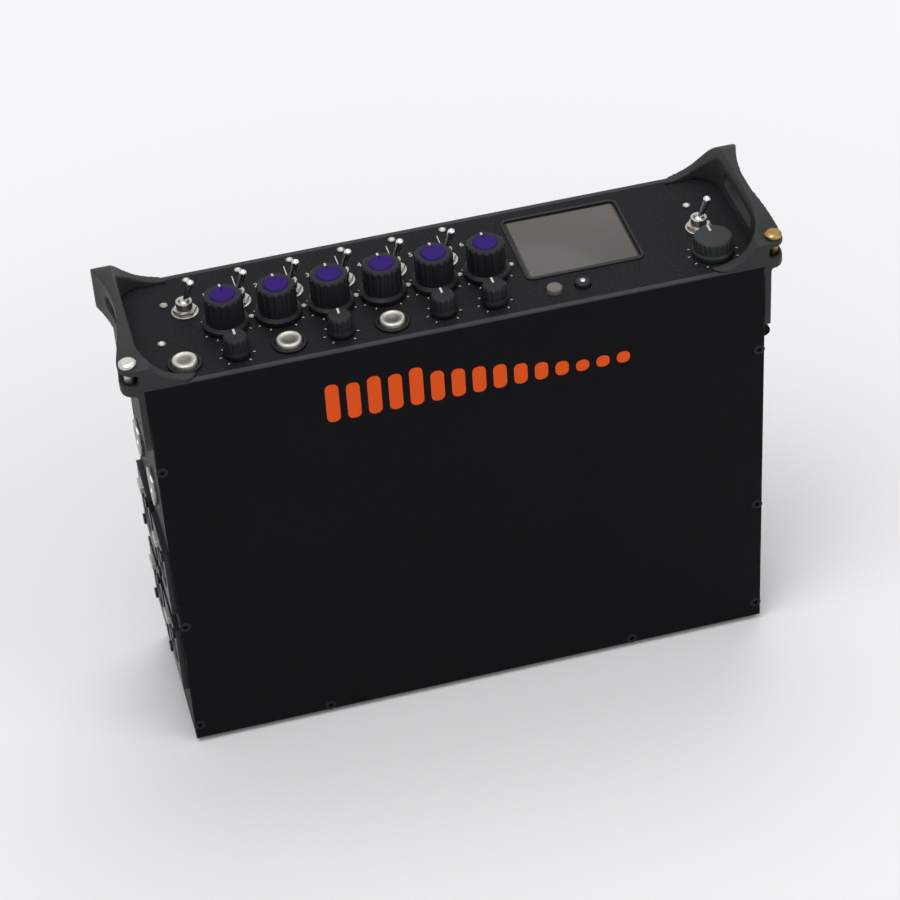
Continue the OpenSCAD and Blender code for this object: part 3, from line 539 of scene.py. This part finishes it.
def rounded_edges(piece, width, segments=2):
    """Bevels a piece's sharp edges and applies it."""
    only(piece)
    bevel = piece.modifiers.new("edges", "BEVEL")
    bevel.width = width
    bevel.segments = segments
    bevel.limit_method = "ANGLE"
    bevel.angle_limit = math.radians(35)
    bpy.ops.object.modifier_apply(modifier=bevel.name)
    return smoothed(piece)


def bar(size, radius, segments=3):
    """A bar with rounded upright edges, standing on the origin."""
    clear_selection()
    bpy.ops.mesh.primitive_cube_add(size=1, location=(0, 0, size[2] / 2))
    piece = bpy.context.object
    piece.scale = size
    bpy.ops.object.transform_apply(location=True, scale=True)
    edit(piece, "EDGE")
    select_edges(piece, lambda start, end: abs((start - end).normalized().z) > 0.9)
    bpy.ops.mesh.bevel(offset=radius, offset_type="OFFSET", segments=segments, affect="EDGES")
    leave()
    return piece


def bezel(size, radius, wall):
    """A rounded rectangle with an opening, its rim wall metres wide, standing on the origin."""
    return opened(bar(size, radius, 4), wall)


def disc(radius, height, sides=32):
    """A disc standing on the origin."""
    clear_selection()
    bpy.ops.mesh.primitive_cylinder_add(
        vertices=sides, radius=radius, depth=height, location=(0, 0, height / 2))
    bpy.ops.object.transform_apply(location=True)
    return bpy.context.object


def washer(outer, inner, height, sides=48):
    """A flat ring standing on the origin."""
    return opened(disc(outer, height, sides), outer - inner)


def lens(radius, height):
    """A domed disc standing on the origin."""
    piece = disc(radius, height, 24)
    edit(piece, "EDGE")
    select_edges(piece, lambda start, end: min(start.z, end.z) > height * 0.9)
    bpy.ops.mesh.bevel(offset=min(radius, height) * 0.75, segments=5, affect="EDGES")
    leave()
    return smoothed(piece)


def pointer_line(points, width, thickness):
    """A thin strip that follows points in the YZ plane, raised thickness metres from its path."""
    clear_selection()
    bpy.ops.mesh.primitive_plane_add(size=1, location=(0, 0, 0))
    piece = bpy.context.object
    first, second = Vector((0, *points[0])), Vector((0, *points[1]))
    piece.scale = (width, (second - first).length, 1)
    piece.location = (first + second) / 2
    bpy.ops.object.transform_apply(location=True, scale=True)
    edit(piece, "EDGE")
    for last, following in zip(points[1:], points[2:]):
        end = Vector((0, *last))
        select_edges(piece, lambda a, b: ((a + b) / 2 - end).length < 0.01 * MM)
        step = (0, following[0] - last[0], following[1] - last[1])
        bpy.ops.mesh.extrude_region_move(TRANSFORM_OT_translate={"value": step})
    leave()
    solid = piece.modifiers.new("solid", "SOLIDIFY")
    solid.thickness = thickness
    solid.offset = 1
    only(piece)
    bpy.ops.object.modifier_apply(modifier=solid.name)
    return piece


def number(text, size, height):
    """A printed numeral lying on the origin, centred."""
    clear_selection()
    bpy.ops.object.text_add(location=(0, 0, 0))
    piece = bpy.context.object
    piece.data.body = text
    piece.data.size = size
    piece.data.align_x = "CENTER"
    piece.data.align_y = "CENTER"
    piece.data.extrude = height / 2
    bpy.ops.object.convert(target="MESH")
    piece = bpy.context.object
    piece.location.z = height / 2
    bpy.ops.object.transform_apply(location=True)
    return piece


def around(middle, radius, angles):
    """Places and turns on a circle round middle, with each angle in degrees clockwise from +Y."""
    places, turns = [], []
    for angle in angles:
        a = math.radians(angle)
        places.append(middle + Vector((math.sin(a), math.cos(a), 0)) * radius)
        turns.append((0, 0, -a))
    return places, turns


def soften(node, width):
    """Rounds a CAD node's edges with live modifiers; its own mesh stays as it is."""
    piece = frame["nodes"][node]
    weld = piece.modifiers.new("weld", "WELD")
    weld.merge_threshold = WELD
    flat = piece.modifiers.new("flat", "DECIMATE")
    flat.decimate_type = "DISSOLVE"
    flat.angle_limit = math.radians(0.5)
    edges = piece.modifiers.new("edges", "BEVEL")
    edges.width = width
    edges.segments = 2
    edges.limit_method = "ANGLE"
    edges.angle_limit = math.radians(32)
    edges.harden_normals = True


def moulded_copy(node, name, voxel, passes):
    """A copy of a CAD node whose edges are all rounded, as a mould leaves them. It stands for the node."""
    piece = bpy.data.objects.new(name, frame["nodes"][node].data.copy())
    bpy.context.collection.objects.link(piece)
    edit(piece)
    bpy.ops.mesh.select_all(action="SELECT")
    bpy.ops.mesh.remove_doubles(threshold=WELD)
    leave()
    skin = piece.modifiers.new("skin", "REMESH")
    skin.mode = "VOXEL"
    skin.voxel_size = voxel
    rounding = piece.modifiers.new("rounding", "SMOOTH")
    rounding.factor = 0.5
    rounding.iterations = passes
    for modifier in (skin, rounding):
        bpy.ops.object.modifier_apply(modifier=modifier.name)
    bpy.ops.object.shade_smooth()
    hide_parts(node)
    return settle(piece, name)


def dress(nodes, material, width=0.0):
    """Gives CAD nodes their material, and rounds their edges where width is set."""
    for name in nodes:
        paint(frame["nodes"][name], material)
        if width:
            soften(name, width)


# ---------------------------------------------------------------- operators


class RECORDER_OT_stage(bpy.types.Operator):
    """Sets the pale floor, the soft lights and the camera"""

    bl_idname = "recorder.stage"
    bl_label = "Stage"

    def execute(self, context):
        scene = context.scene
        scene.view_settings.view_transform = "Standard"
        self.camera(scene)
        self.floor()
        self.world(scene)
        self.lamps()
        return {"FINISHED"}

    def camera(self, scene):
        """Looks down at the control panel, from in front and a little to the left."""
        azimuth, elevation, roll = (math.radians(angle) for angle in (-12.1, 36.4, -4))
        distance = 1.127
        aim = Vector((0, 0, 95 * MM))
        back = Vector((
            math.sin(azimuth) * math.cos(elevation), -math.cos(azimuth) * math.cos(elevation),
            math.sin(elevation)))
        place = Vector((0, 0, PANEL_Z)) + back * distance
        bpy.ops.object.camera_add(location=place)
        camera = bpy.context.object
        camera.rotation_euler = (aim - place).to_track_quat("-Z", "Y").to_euler()
        camera.rotation_euler.rotate_axis("Z", roll)
        camera.data.sensor_width = 36
        camera.data.lens = 120
        camera.data.clip_start = 0.01
        scene.camera = camera

    def floor(self):
        """Pale paper that takes the recorder's shadow, and shows as an even backdrop further away."""
        clear_selection()
        bpy.ops.mesh.primitive_grid_add(x_subdivisions=4, y_subdivisions=4, size=8, location=(0, 0, 0))
        floor = settle(bpy.context.object, "floor")
        material, add, place = new_material("pale_paper", "#F7F7F8", 0.9, Specular_IOR_Level=0.1)
        fibres = add("TexNoise", {"Vector": place, "Scale": 1 / (2 * MM)})
        shaded(material, Normal=add("Bump", {"Height": fibres, "Distance": 0.02 * MM, "Strength": 0.2}))
        away = add("VectorMath", {0: place}, operation="LENGTH")
        far = add(
            "MapRange", {"Value": away, "From Min": 0.1, "From Max": 0.5}, interpolation_type="SMOOTHSTEP")
        shown = add("Math", {0: far, 1: self.direct_rays(add)}, operation="MULTIPLY")
        tree = material.node_tree
        self.backdrop(add, tree, "Material Output", shown, tree.nodes["Principled BSDF"], "Emission")
        paint(floor, material)

    def world(self, scene):
        """Even soft light from all round, behind a paler backdrop."""
        scene.world = bpy.data.worlds.new("studio")
        scene.world.use_nodes = True
        tree = scene.world.node_tree
        add = functools.partial(add_node, tree)
        light = tree.nodes["Background"]
        connect(tree, light, {"Color": "#F4F5F7", "Strength": 0.35})
        self.backdrop(add, tree, "World Output", self.direct_rays(add), light, "Background")

    def direct_rays(self, add):
        """1 for rays that show the backdrop: to the camera, off gloss and through glass."""
        paths = add("LightPath", {})
        direct = paths.outputs["Is Camera Ray"]
        for kind in ("Is Glossy Ray", "Is Transmission Ray"):
            direct = add("Math", {0: direct, 1: paths.outputs[kind]}, operation="MAXIMUM")
        return direct

    def backdrop(self, add, tree, output, shown, shader, kind):
        """Shows the backdrop's own even colour in place of a shader, where shown is 1."""
        pale = add(kind, {"Color": "#F8F8FA", "Strength": 1.0})
        both = add("MixShader", {0: shown, 1: shader, 2: pale})
        connect(tree, tree.nodes[output], {"Surface": both})

    def lamps(self):
        """Three large round lamps: name, place, diameter in metres and watts."""
        aim = Vector((0, 0, PANEL_Z / 2))
        for name, place, size, power in (
                ("key", (-0.35, -0.35, 1.45), 0.9, 9.0),
                ("fill", (0.9, -0.9, 0.9), 1.0, 5.0),
                ("top", (0.2, 0.5, 1.4), 0.8, 5.0)):
            bpy.ops.object.light_add(type="AREA", location=place)
            lamp = bpy.context.object
            lamp.name = name
            lamp.data.shape = "DISK"
            lamp.data.size = size
            lamp.data.energy = power
            lamp.rotation_euler = (aim - Vector(place)).to_track_quat("-Z", "Y").to_euler()


class RECORDER_OT_case(bpy.types.Operator):
    """Finishes the covers, panels, base plate, feet and screws"""

    bl_idname = "recorder.case"
    bl_label = "Case"

    def execute(self, context):
        colours, edge = finish_of(), sizes().edge
        box = (Vector((-SIDE_X, COVER_Y, CAD_LOW.z)), Vector((SIDE_X, BACK_Y, PANEL_Z)))
        # The covers' base and speckle colours are darker than the sides', partly as painted shade for the front
        # cover's shaded face.
        cover = powder_coat(
            "cover_powder_coat", colours.cover, "#131316", box, texture=0.55 * MM, roughness=0.4, wear=0.5,
            # The lip colour is a painted highlight along the covers' top edge.
            painted_top_highlight="#404043")
        dress(("front_cover", "back_cover"), cover, edge * 2)
        side = powder_coat(
            "side_powder_coat", colours.side, "#1A1A1D", box, texture=0.55 * MM, roughness=0.46, wear=0.5)
        dress(("left_panel", "right_panel", "base_plate", "card_door"), side, edge)
        panel = powder_coat(
            "panel_texture_paint", colours.panel, "#262628", box, texture=0.8 * MM, roughness=0.5, wear=0.2)
        dress(("control_panel",), panel, edge * 0.4)
        dress(("feet",), rubber("nitrile_rubber", "#1B1B1B"), edge)
        dress(("case_screws",), plated_metal("black_oxide_steel", "#2B2B2E", 0.36), edge * 0.3)
        return {"FINISHED"}


class RECORDER_OT_guards(bpy.types.Operator):
    """Finishes the two guards and the strap pins in their corners"""

    bl_idname = "recorder.guards"
    bl_label = "Guards"

    def execute(self, context):
        for side in ("left", "right"):
            node = f"{side}_guard"
            nylon = moulded_nylon(f"{side}_guard_nylon", finish_of().guard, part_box(node))
            guard = moulded_copy(node, f"{side}_guard_moulding", voxel=0.5 * MM, passes=6)
            attach(guard, "case", nylon)
        dress(("strap_pins",), turned_pin_metal("turned_pin_metal"), 0.2 * MM)
        return {"FINISHED"}


class RECORDER_OT_cover_print(bpy.types.Operator):
    """Prints a row of plain rounded bars on the front cover, tall at the left and falling to dots"""

    bl_idname = "recorder.cover_print"
    bl_label = "Cover print"

    def execute(self, context):
        size = sizes()
        start, foot_z = -50 * MM, PANEL_Z - 32 * MM
        heights = (17.5, 16.5, 17.5, 16.5, 17.5, 14, 13, 12, 11, 9.5, 8, 6.5, 5.2, 5.2, 5.2)
        parts = []
        for i, height in enumerate(heights):
            part = bar((size.bar_w, height * MM, size.print_h), size.bar_w * 0.42)
            part.rotation_euler = (math.radians(90), 0, 0)
            part.location = (start + i * size.bar_pitch, COVER_Y, foot_z + height * MM / 2)
            parts.append(part)
        ink = screen_ink("orange_ink", finish_of().print_orange)
        attach(joined(parts, "cover_print"), "case", ink)
        return {"FINISHED"}


class RECORDER_OT_knobs(bpy.types.Operator):
    """Finishes the fader, trim and headphone knobs, and lays in their pointer lines"""

    bl_idname = "recorder.knobs"
    bl_label = "Knobs"

    # Each line's way over the knob's top and down its side, as distance from the axis and height in millimetres
    fader_line = ((4.95, 14.1), (6.5, 14.1), (6.95, 13.65), (6.95, 5))
    trim_line = ((0.8, 8.5), (3.9, 8.5), (4.35, 8.05), (4.35, 4.2))
    headphone_line = ((3, 8), (6.6, 8), (7.05, 7.55), (7.05, 4.2))

    def execute(self, context):
        edge = 0.12 * MM
        grip = moulded_abs("knob_soft_abs", "#141417", 0.5)
        dress(family("fader_knob") + family("trim_knob"), grip, edge)
        dress(("headphone_knob",), moulded_abs("headphone_knob_abs", "#242928", 0.46), edge)
        cap = moulded_abs(
            "cap_coloured_abs", finish_of().cap, 0.42, texture=0.5 * MM, depth=0.01 * MM, specular=0.08)
        dress(family("fader_cap"), cap, edge)
        ink = screen_ink("pointer_ink", finish_of().print_white)
        for i, place in enumerate(FADERS, 1):
            self.pointer(place, self.fader_line, f"fader_{i}", ink)
        for i, place in enumerate(TRIMS, 1):
            self.pointer(place, self.trim_line, f"trim_{i}", ink)
        self.pointer(PHONES, self.headphone_line, "headphone_volume", ink)
        return {"FINISHED"}

    def pointer(self, place, path, body, ink):
        """A printed line on one knob."""
        line = pointer_line([(y * MM, z * MM) for y, z in path], width=0.8 * MM, thickness=0.08 * MM)
        line.location = place
        attach(settle(line, f"{body}_pointer"), body, ink)


class RECORDER_OT_switches(bpy.types.Operator):
    """Finishes the toggle levers and their bushings, with a washer under each nut"""

    bl_idname = "recorder.switches"
    bl_label = "Toggles"

    def execute(self, context):
        dress(family("toggle_lever") + ["power_lever"], plated_metal("chrome_plate", "#D6D7D9", 0.12))
        nickel = plated_metal("nickel_plate", "#A9A7A1", 0.3)
        dress(("toggle_bushings",), nickel, 0.1 * MM)
        dress(("fader_pots",), plated_metal("pot_nickel", "#8D8C88", 0.36))
        part = rounded_edges(washer(5.1 * MM, 3.2 * MM, 0.4 * MM), 0.08 * MM)
        attach(repeated(part, TOGGLES + [POWER], "toggle_washers"), "case", nickel)
        return {"FINISHED"}


class RECORDER_OT_keys(bpy.types.Operator):
    """Finishes the buttons and keys, with a collar round each select button"""

    bl_idname = "recorder.keys"
    bl_label = "Buttons and keys"

    def execute(self, context):
        for node in family("select_button"):
            dress((node,), turned_aluminium(f"{node}_aluminium", "#B4B2AA", centre(node)), 0.1 * MM)
        collar = rounded_edges(washer(6.5 * MM, 5.15 * MM, 1.1 * MM), 0.35 * MM, 3)
        black = moulded_abs("collar_abs", "#101012", 0.42)
        attach(repeated(collar, BUTTONS, "button_collars"), "case", black)
        edge = 0.15 * MM
        # The record key is unlit; its small emission is a painted glow.
        dress(("record_key",), clear_lens("record_key_acrylic", "#8A1C2B", 0.03), edge)
        dress(("menu_key_1",), moulded_abs("pale_key_abs", "#6B665E", 0.4), edge)
        dress(("menu_key_2",), moulded_abs("dark_key_abs", "#17171A", 0.4), edge)
        stud = lens(1.1 * MM, 0.6 * MM)
        key_top = 1.75 * MM
        stud.location = on_panel("menu_key_2") + Vector((0, 0, key_top))
        nickel = plated_metal("stud_nickel", "#C9C8C4", 0.2)
        attach(settle(stud, "menu_key_stud"), "menu_2", nickel)
        return {"FINISHED"}


class RECORDER_OT_display(bpy.types.Operator):
    """Finishes the display's window and sets a thin bezel round it"""

    bl_idname = "recorder.display"
    bl_label = "Display"

    def execute(self, context):
        dress(("display_window",), display_glass("display_acrylic", finish_of().display), 0.15 * MM)
        dress(("display_module",), moulded_abs("module_abs", "#1D1E20", 0.5))
        low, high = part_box("display_window")
        wall, corner = 1.2 * MM, 3 * MM
        size = (high.x - low.x + 2 * wall, high.y - low.y + 2 * wall, 0.5 * MM)
        rim = rounded_edges(bezel(size, corner, wall * 0.92), 0.12 * MM)
        rim.location = on_panel("display_window")
        attach(settle(rim, "display_bezel"), "case", moulded_abs("bezel_abs", "#141416", 0.4))
        return {"FINISHED"}


class RECORDER_OT_panel_lights(bpy.types.Operator):
    """Sets the small lights of each channel and the power light into the panel"""

    bl_idname = "recorder.panel_lights"
    bl_label = "Panel lights"

    def execute(self, context):
        radius = sizes().lens_d / 2
        # The lights are off; the small emission of both lenses is a painted glow.
        pale = clear_lens("pale_lens_epoxy", "#C7CBC2", 0.1)
        green = clear_lens("green_lens_epoxy", "#7FA36A", 0.1)
        ends = beside(FADERS[:1], -25, -4) + beside([POWER], 0, 15)
        self.lights(beside(TOGGLES, 4, 19) + ends, radius, "channel_lights", pale)
        self.lights(beside(TOGGLES, -7, 6), radius, "link_lights", green)
        self.lights(beside(FADERS, 10, 2), radius * 0.6, "level_lights", pale)
        return {"FINISHED"}

    def lights(self, places, radius, name, material):
        """Like lights, each a domed lens in a nickel rim."""
        attach(repeated(lens(radius, 0.8 * MM), places, name), "case", material)
        rim = rounded_edges(washer(radius + 0.45 * MM, radius + 0.02 * MM, 0.45 * MM, 32), 0.1 * MM)
        nickel = plated_metal(f"{name}_rim_nickel", "#8E8D88", 0.3)
        attach(repeated(rim, places, f"{name}_rims"), "case", nickel)


class RECORDER_OT_panel_print(bpy.types.Operator):
    """Prints the scale ticks round the knobs and the channel numbers"""

    bl_idname = "recorder.panel_print"
    bl_label = "Panel print"

    def execute(self, context):
        size = sizes()
        line_w, line_end = 0.35 * MM, 0.1 * MM
        ink = screen_ink("white_ink", finish_of().print_white)
        places, turns = [], []
        # Each scale's knobs, its radius in millimetres and the angles of its ticks
        scales = (
            (FADERS, 9.5, (-150, -120, -60, -30, 0, 30, 60, 120, 150)),
            (TRIMS, 6.3, (-140, -95, -50, 0, 50, 95, 140)),
            ([PHONES], 9.4, (-150, -120, -90, -60, -30, 0, 30, 60, 90, 120, 150)),
        )
        for middles, radius, angles in scales:
            for middle in middles:
                found, turned = around(middle, radius * MM, angles)
                places += found
                turns += turned
        tick = bar((line_w, size.tick_l, size.print_h), line_end, 1)
        attach(repeated(tick, places, "scale_ticks", turns), "case", ink)
        parts = []
        for i, place in enumerate(beside(FADERS, -4.5, 20.5), 1):
            part = number(str(i), 3.4 * MM, size.print_h)
            part.location = place
            parts.append(part)
        attach(joined(parts, "channel_numbers"), "case", ink)
        rule = bar((line_w, 6 * MM, size.print_h), line_end, 1)
        attach(repeated(rule, beside(FADERS[:-1], 8, 26), "channel_rules"), "case", ink)
        return {"FINISHED"}


class RECORDER_OT_inputs(bpy.types.Operator):
    """Finishes the four large input sockets, with gold contacts and plain numbers"""

    bl_idname = "recorder.inputs"
    bl_label = "Input sockets"

    def execute(self, context):
        dress(("xlr_shells",), plated_metal("black_chrome_shell", "#3A3A3D", 0.38), 0.3 * MM)
        dress(("xlr_inserts",), moulded_abs("contact_carrier_abs", "#131315", 0.4), 0.15 * MM)
        dress(family("xlr_latch"), plated_metal("stamped_steel", "#B4B4B1", 0.3), 0.3 * MM)
        face_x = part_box("xlr_inserts")[0].x
        middle, half = pattern("microphone_inputs")
        sockets = [
            Vector((face_x, middle.y + y * half.x, middle.z + z * half.y)) for z in (1, -1) for y in (1, -1)]
        contact_r, proud = 4.9 * MM, 0.2 * MM
        places = []
        for socket in sockets:
            for angle in (90, 210, 330):
                a = math.radians(angle)
                places.append(socket + Vector((proud, contact_r * math.cos(a), -contact_r * math.sin(a))))
        sleeve = rounded_edges(washer(1.28 * MM, 0.85 * MM, 5 * MM, 20), 0.08 * MM)
        gold = plated_metal("contact_gold", "#C9A24E", 0.22)
        turns = [(0, math.radians(90), 0)] * len(places)
        attach(repeated(sleeve, places, "input_contacts", turns), "case", gold)
        panel_x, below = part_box("left_panel")[0].x, 18.6 * MM
        parts = []
        for i, socket in enumerate(sockets, 1):
            part = number(str(i), 4.2 * MM, sizes().print_h)
            part.rotation_euler = (math.radians(90), 0, math.radians(-90))
            part.location = (panel_x, socket.y, socket.z - below)
            parts.append(part)
        ink = screen_ink("input_ink", finish_of().print_white)
        attach(joined(parts, "input_numbers"), "case", ink)
        return {"FINISHED"}


class RECORDER_OT_small_sockets(bpy.types.Operator):
    """Finishes the small sockets, with black insulators in their faces and a plain line round each"""

    bl_idname = "recorder.small_sockets"
    bl_label = "Small sockets"

    def execute(self, context):
        nickel = plated_metal("socket_nickel", "#9C9B97", 0.28)
        dress(("mini_sockets", "timecode_jacks", "headphone_socket"), nickel, 0.25 * MM)
        black = moulded_abs("insulator_abs", "#0F0F11", 0.42)
        jack = Vector(MOUNTS["headphone_jack"]["pos_m"])
        low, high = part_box("mini_sockets")
        row, inset = (-abs(jack.y), abs(jack.y)), 7.5 * MM
        code_z = centre("timecode_jacks").z
        # Each socket's side, its y and z, and how far its floor is from the side panel in millimetres
        minis = [(-1, y, high.z - inset, 0.6) for y in row] + [(1, y, low.z + inset, 0.6) for y in row]
        minis.append((1, row[1], jack.z, 1.4))
        codes = [(1, y, code_z, 2.4) for y in row]
        self.insulators(minis, 4.45, 3.3, 1.75, "socket_insulators", black)
        self.insulators(codes, 3.75, 2.5, 1.05, "timecode_insulators", black)
        collar = rounded_edges(washer(5.2 * MM, 3.25 * MM, 0.5 * MM), 0.15 * MM)
        collar.rotation_euler = (0, math.radians(90), 0)
        collar.location = (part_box("headphone_socket")[1].x - 0.05 * MM, jack.y, jack.z)
        attach(settle(collar, "headphone_collar"), "case", black)
        line = washer(8.7 * MM, 8.35 * MM, sizes().print_h, 64)
        places, turns = self.on_sides([(side, y, z, 0) for side, y, z, _ in minis + codes])
        ink = screen_ink("socket_ink", "#8C8C88")
        attach(repeated(line, places, "socket_lines", turns), "case", ink)
        return {"FINISHED"}

    def on_sides(self, sockets):
        """Places and turns of parts that face outwards on the side panels."""
        places = [Vector((side * (SIDE_X + up * MM), y, z)) for side, y, z, up in sockets]
        return places, [(0, side * math.radians(90), 0) for side, *_ in sockets]

    def insulators(self, sockets, outer, inner, hub, name, material):
        """Insulators on the floors of like sockets: a ring between two radii round a hub, in millimetres."""
        height = 0.35 * MM
        part = joined([washer(outer * MM, inner * MM, height, 40), disc(hub * MM, height)], name)
        places, turns = self.on_sides(sockets)
        part = repeated(rounded_edges(part, 0.06 * MM), places, name, turns)
        attach(part, "case", material)


class RECORDER_OT_battery(bpy.types.Operator):
    """Finishes the battery sled and its cells, with grip ribs on the faceplate"""

    bl_idname = "recorder.battery"
    bl_label = "Battery sled"

    def execute(self, context):
        sled = moulded_abs("sled_abs", "#202023", 0.48)
        dress(("battery_sled",), sled, 0.4 * MM)
        wrap = shrink_wrap("cell_shrink_film", "#66753C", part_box("battery_cells"))
        dress(("battery_cells",), wrap, 0.4 * MM)
        rib = rounded_edges(bar((1 * MM, 15 * MM, 0.7 * MM), 0.45 * MM), 0.2 * MM)
        face_x, lowest = SIDE_X + 2.7 * MM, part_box("battery_sled")[0].z + 6 * MM
        pitch, ribs = 2.2 * MM, 5
        places = [Vector((face_x, y * MM, lowest + pitch * i)) for y in (-15, 15) for i in range(ribs)]
        turns = [(0, math.radians(90), 0)] * len(places)
        attach(repeated(rib, places, "sled_ribs", turns), "battery_drawer", sled)
        return {"FINISHED"}


class RECORDER_OT_cards(bpy.types.Operator):
    """Finishes the memory cards, with a raised card outline on the door"""

    bl_idname = "recorder.cards"
    bl_label = "Card door"

    def execute(self, context):
        dress(("memory_cards",), moulded_abs("card_abs", "#23262D", 0.42), 0.2 * MM)
        outline = rounded_edges(bezel((13 * MM, 18 * MM, 0.5 * MM), 1.5 * MM, 0.8 * MM), 0.12 * MM)
        outline.rotation_euler = (0, math.radians(90), 0)
        outline.location = (SIDE_X + 2.75 * MM, 0, centre("card_door").z - 1.5 * MM)
        coat = moulded_abs("door_relief_abs", "#1B1B1E", 0.5)
        attach(settle(outline, "card_door_relief"), "card_flap", coat)
        return {"FINISHED"}


class RECORDER_OT_bracket(bpy.types.Operator):
    """Sets brass inserts into the bracket holes of the back cover"""

    bl_idname = "recorder.bracket"
    bl_label = "Bracket inserts"

    def execute(self, context):
        middle, half = pattern("bracket_holes")
        sunk = 0.25 * MM
        places = [middle + Vector((x * half.x, -sunk, z * half.y)) for x in (-1, 1) for z in (-1, 1)]
        insert = rounded_edges(washer(2.6 * MM, 1.52 * MM, 0.35 * MM), 0.1 * MM)
        turns = [(math.radians(-90), 0, 0)] * len(places)
        brass = plated_metal("insert_brass", "#B08D4C", 0.3)
        attach(repeated(insert, places, "bracket_inserts", turns), "case", brass)
        return {"FINISHED"}


class RECORDER_OT_inside(bpy.types.Operator):
    """Finishes the circuit boards and the switches on them"""

    bl_idname = "recorder.inside"
    bl_label = "Inside"

    def execute(self, context):
        dress(("circuit_boards",), circuit_board("green_solder_mask"))
        dress(("switch_bodies",), moulded_abs("switch_abs", "#1D1E20", 0.5))
        return {"FINISHED"}


OPERATORS = (
    RECORDER_OT_stage, RECORDER_OT_case, RECORDER_OT_guards, RECORDER_OT_cover_print, RECORDER_OT_knobs,
    RECORDER_OT_switches, RECORDER_OT_keys, RECORDER_OT_display, RECORDER_OT_panel_lights,
    RECORDER_OT_panel_print, RECORDER_OT_inputs, RECORDER_OT_small_sockets, RECORDER_OT_battery,
    RECORDER_OT_cards, RECORDER_OT_bracket, RECORDER_OT_inside,
)


class RECORDER_PT_panel(bpy.types.Panel):
    """Lists the recorder's pieces"""

    bl_idname = "RECORDER_PT_panel"
    bl_label = "Field recorder"
    bl_space_type = "VIEW_3D"
    bl_region_type = "UI"
    bl_category = "Recorder"

    def draw(self, context):
        column = self.layout.column()
        for operator in OPERATORS:
            column.operator(operator.bl_idname)
        for group in (finish_of(), sizes()):
            for key in group.bl_rna.properties.keys():
                if key not in ("rna_type", "name"):
                    column.prop(group, key)


CLASSES = (RecorderFinish, RecorderSizes, *OPERATORS, RECORDER_PT_panel)


def register():
    """Registers the recorder's classes and its two groups of settings."""
    for cls in CLASSES:
        bpy.utils.register_class(cls)
    bpy.types.Scene.recorder_finish = bpy.props.PointerProperty(type=RecorderFinish)
    bpy.types.Scene.recorder_sizes = bpy.props.PointerProperty(type=RecorderSizes)


def unregister():
    """Takes back what register did."""
    del bpy.types.Scene.recorder_sizes
    del bpy.types.Scene.recorder_finish
    for cls in reversed(CLASSES):
        bpy.utils.unregister_class(cls)


def main():
    """Registers the classes and settings, and builds everything in order."""
    register()
    for operator in OPERATORS:
        group, name = operator.bl_idname.split(".")
        getattr(getattr(bpy.ops, group), name)()


if __name__ == "__main__":
    main()
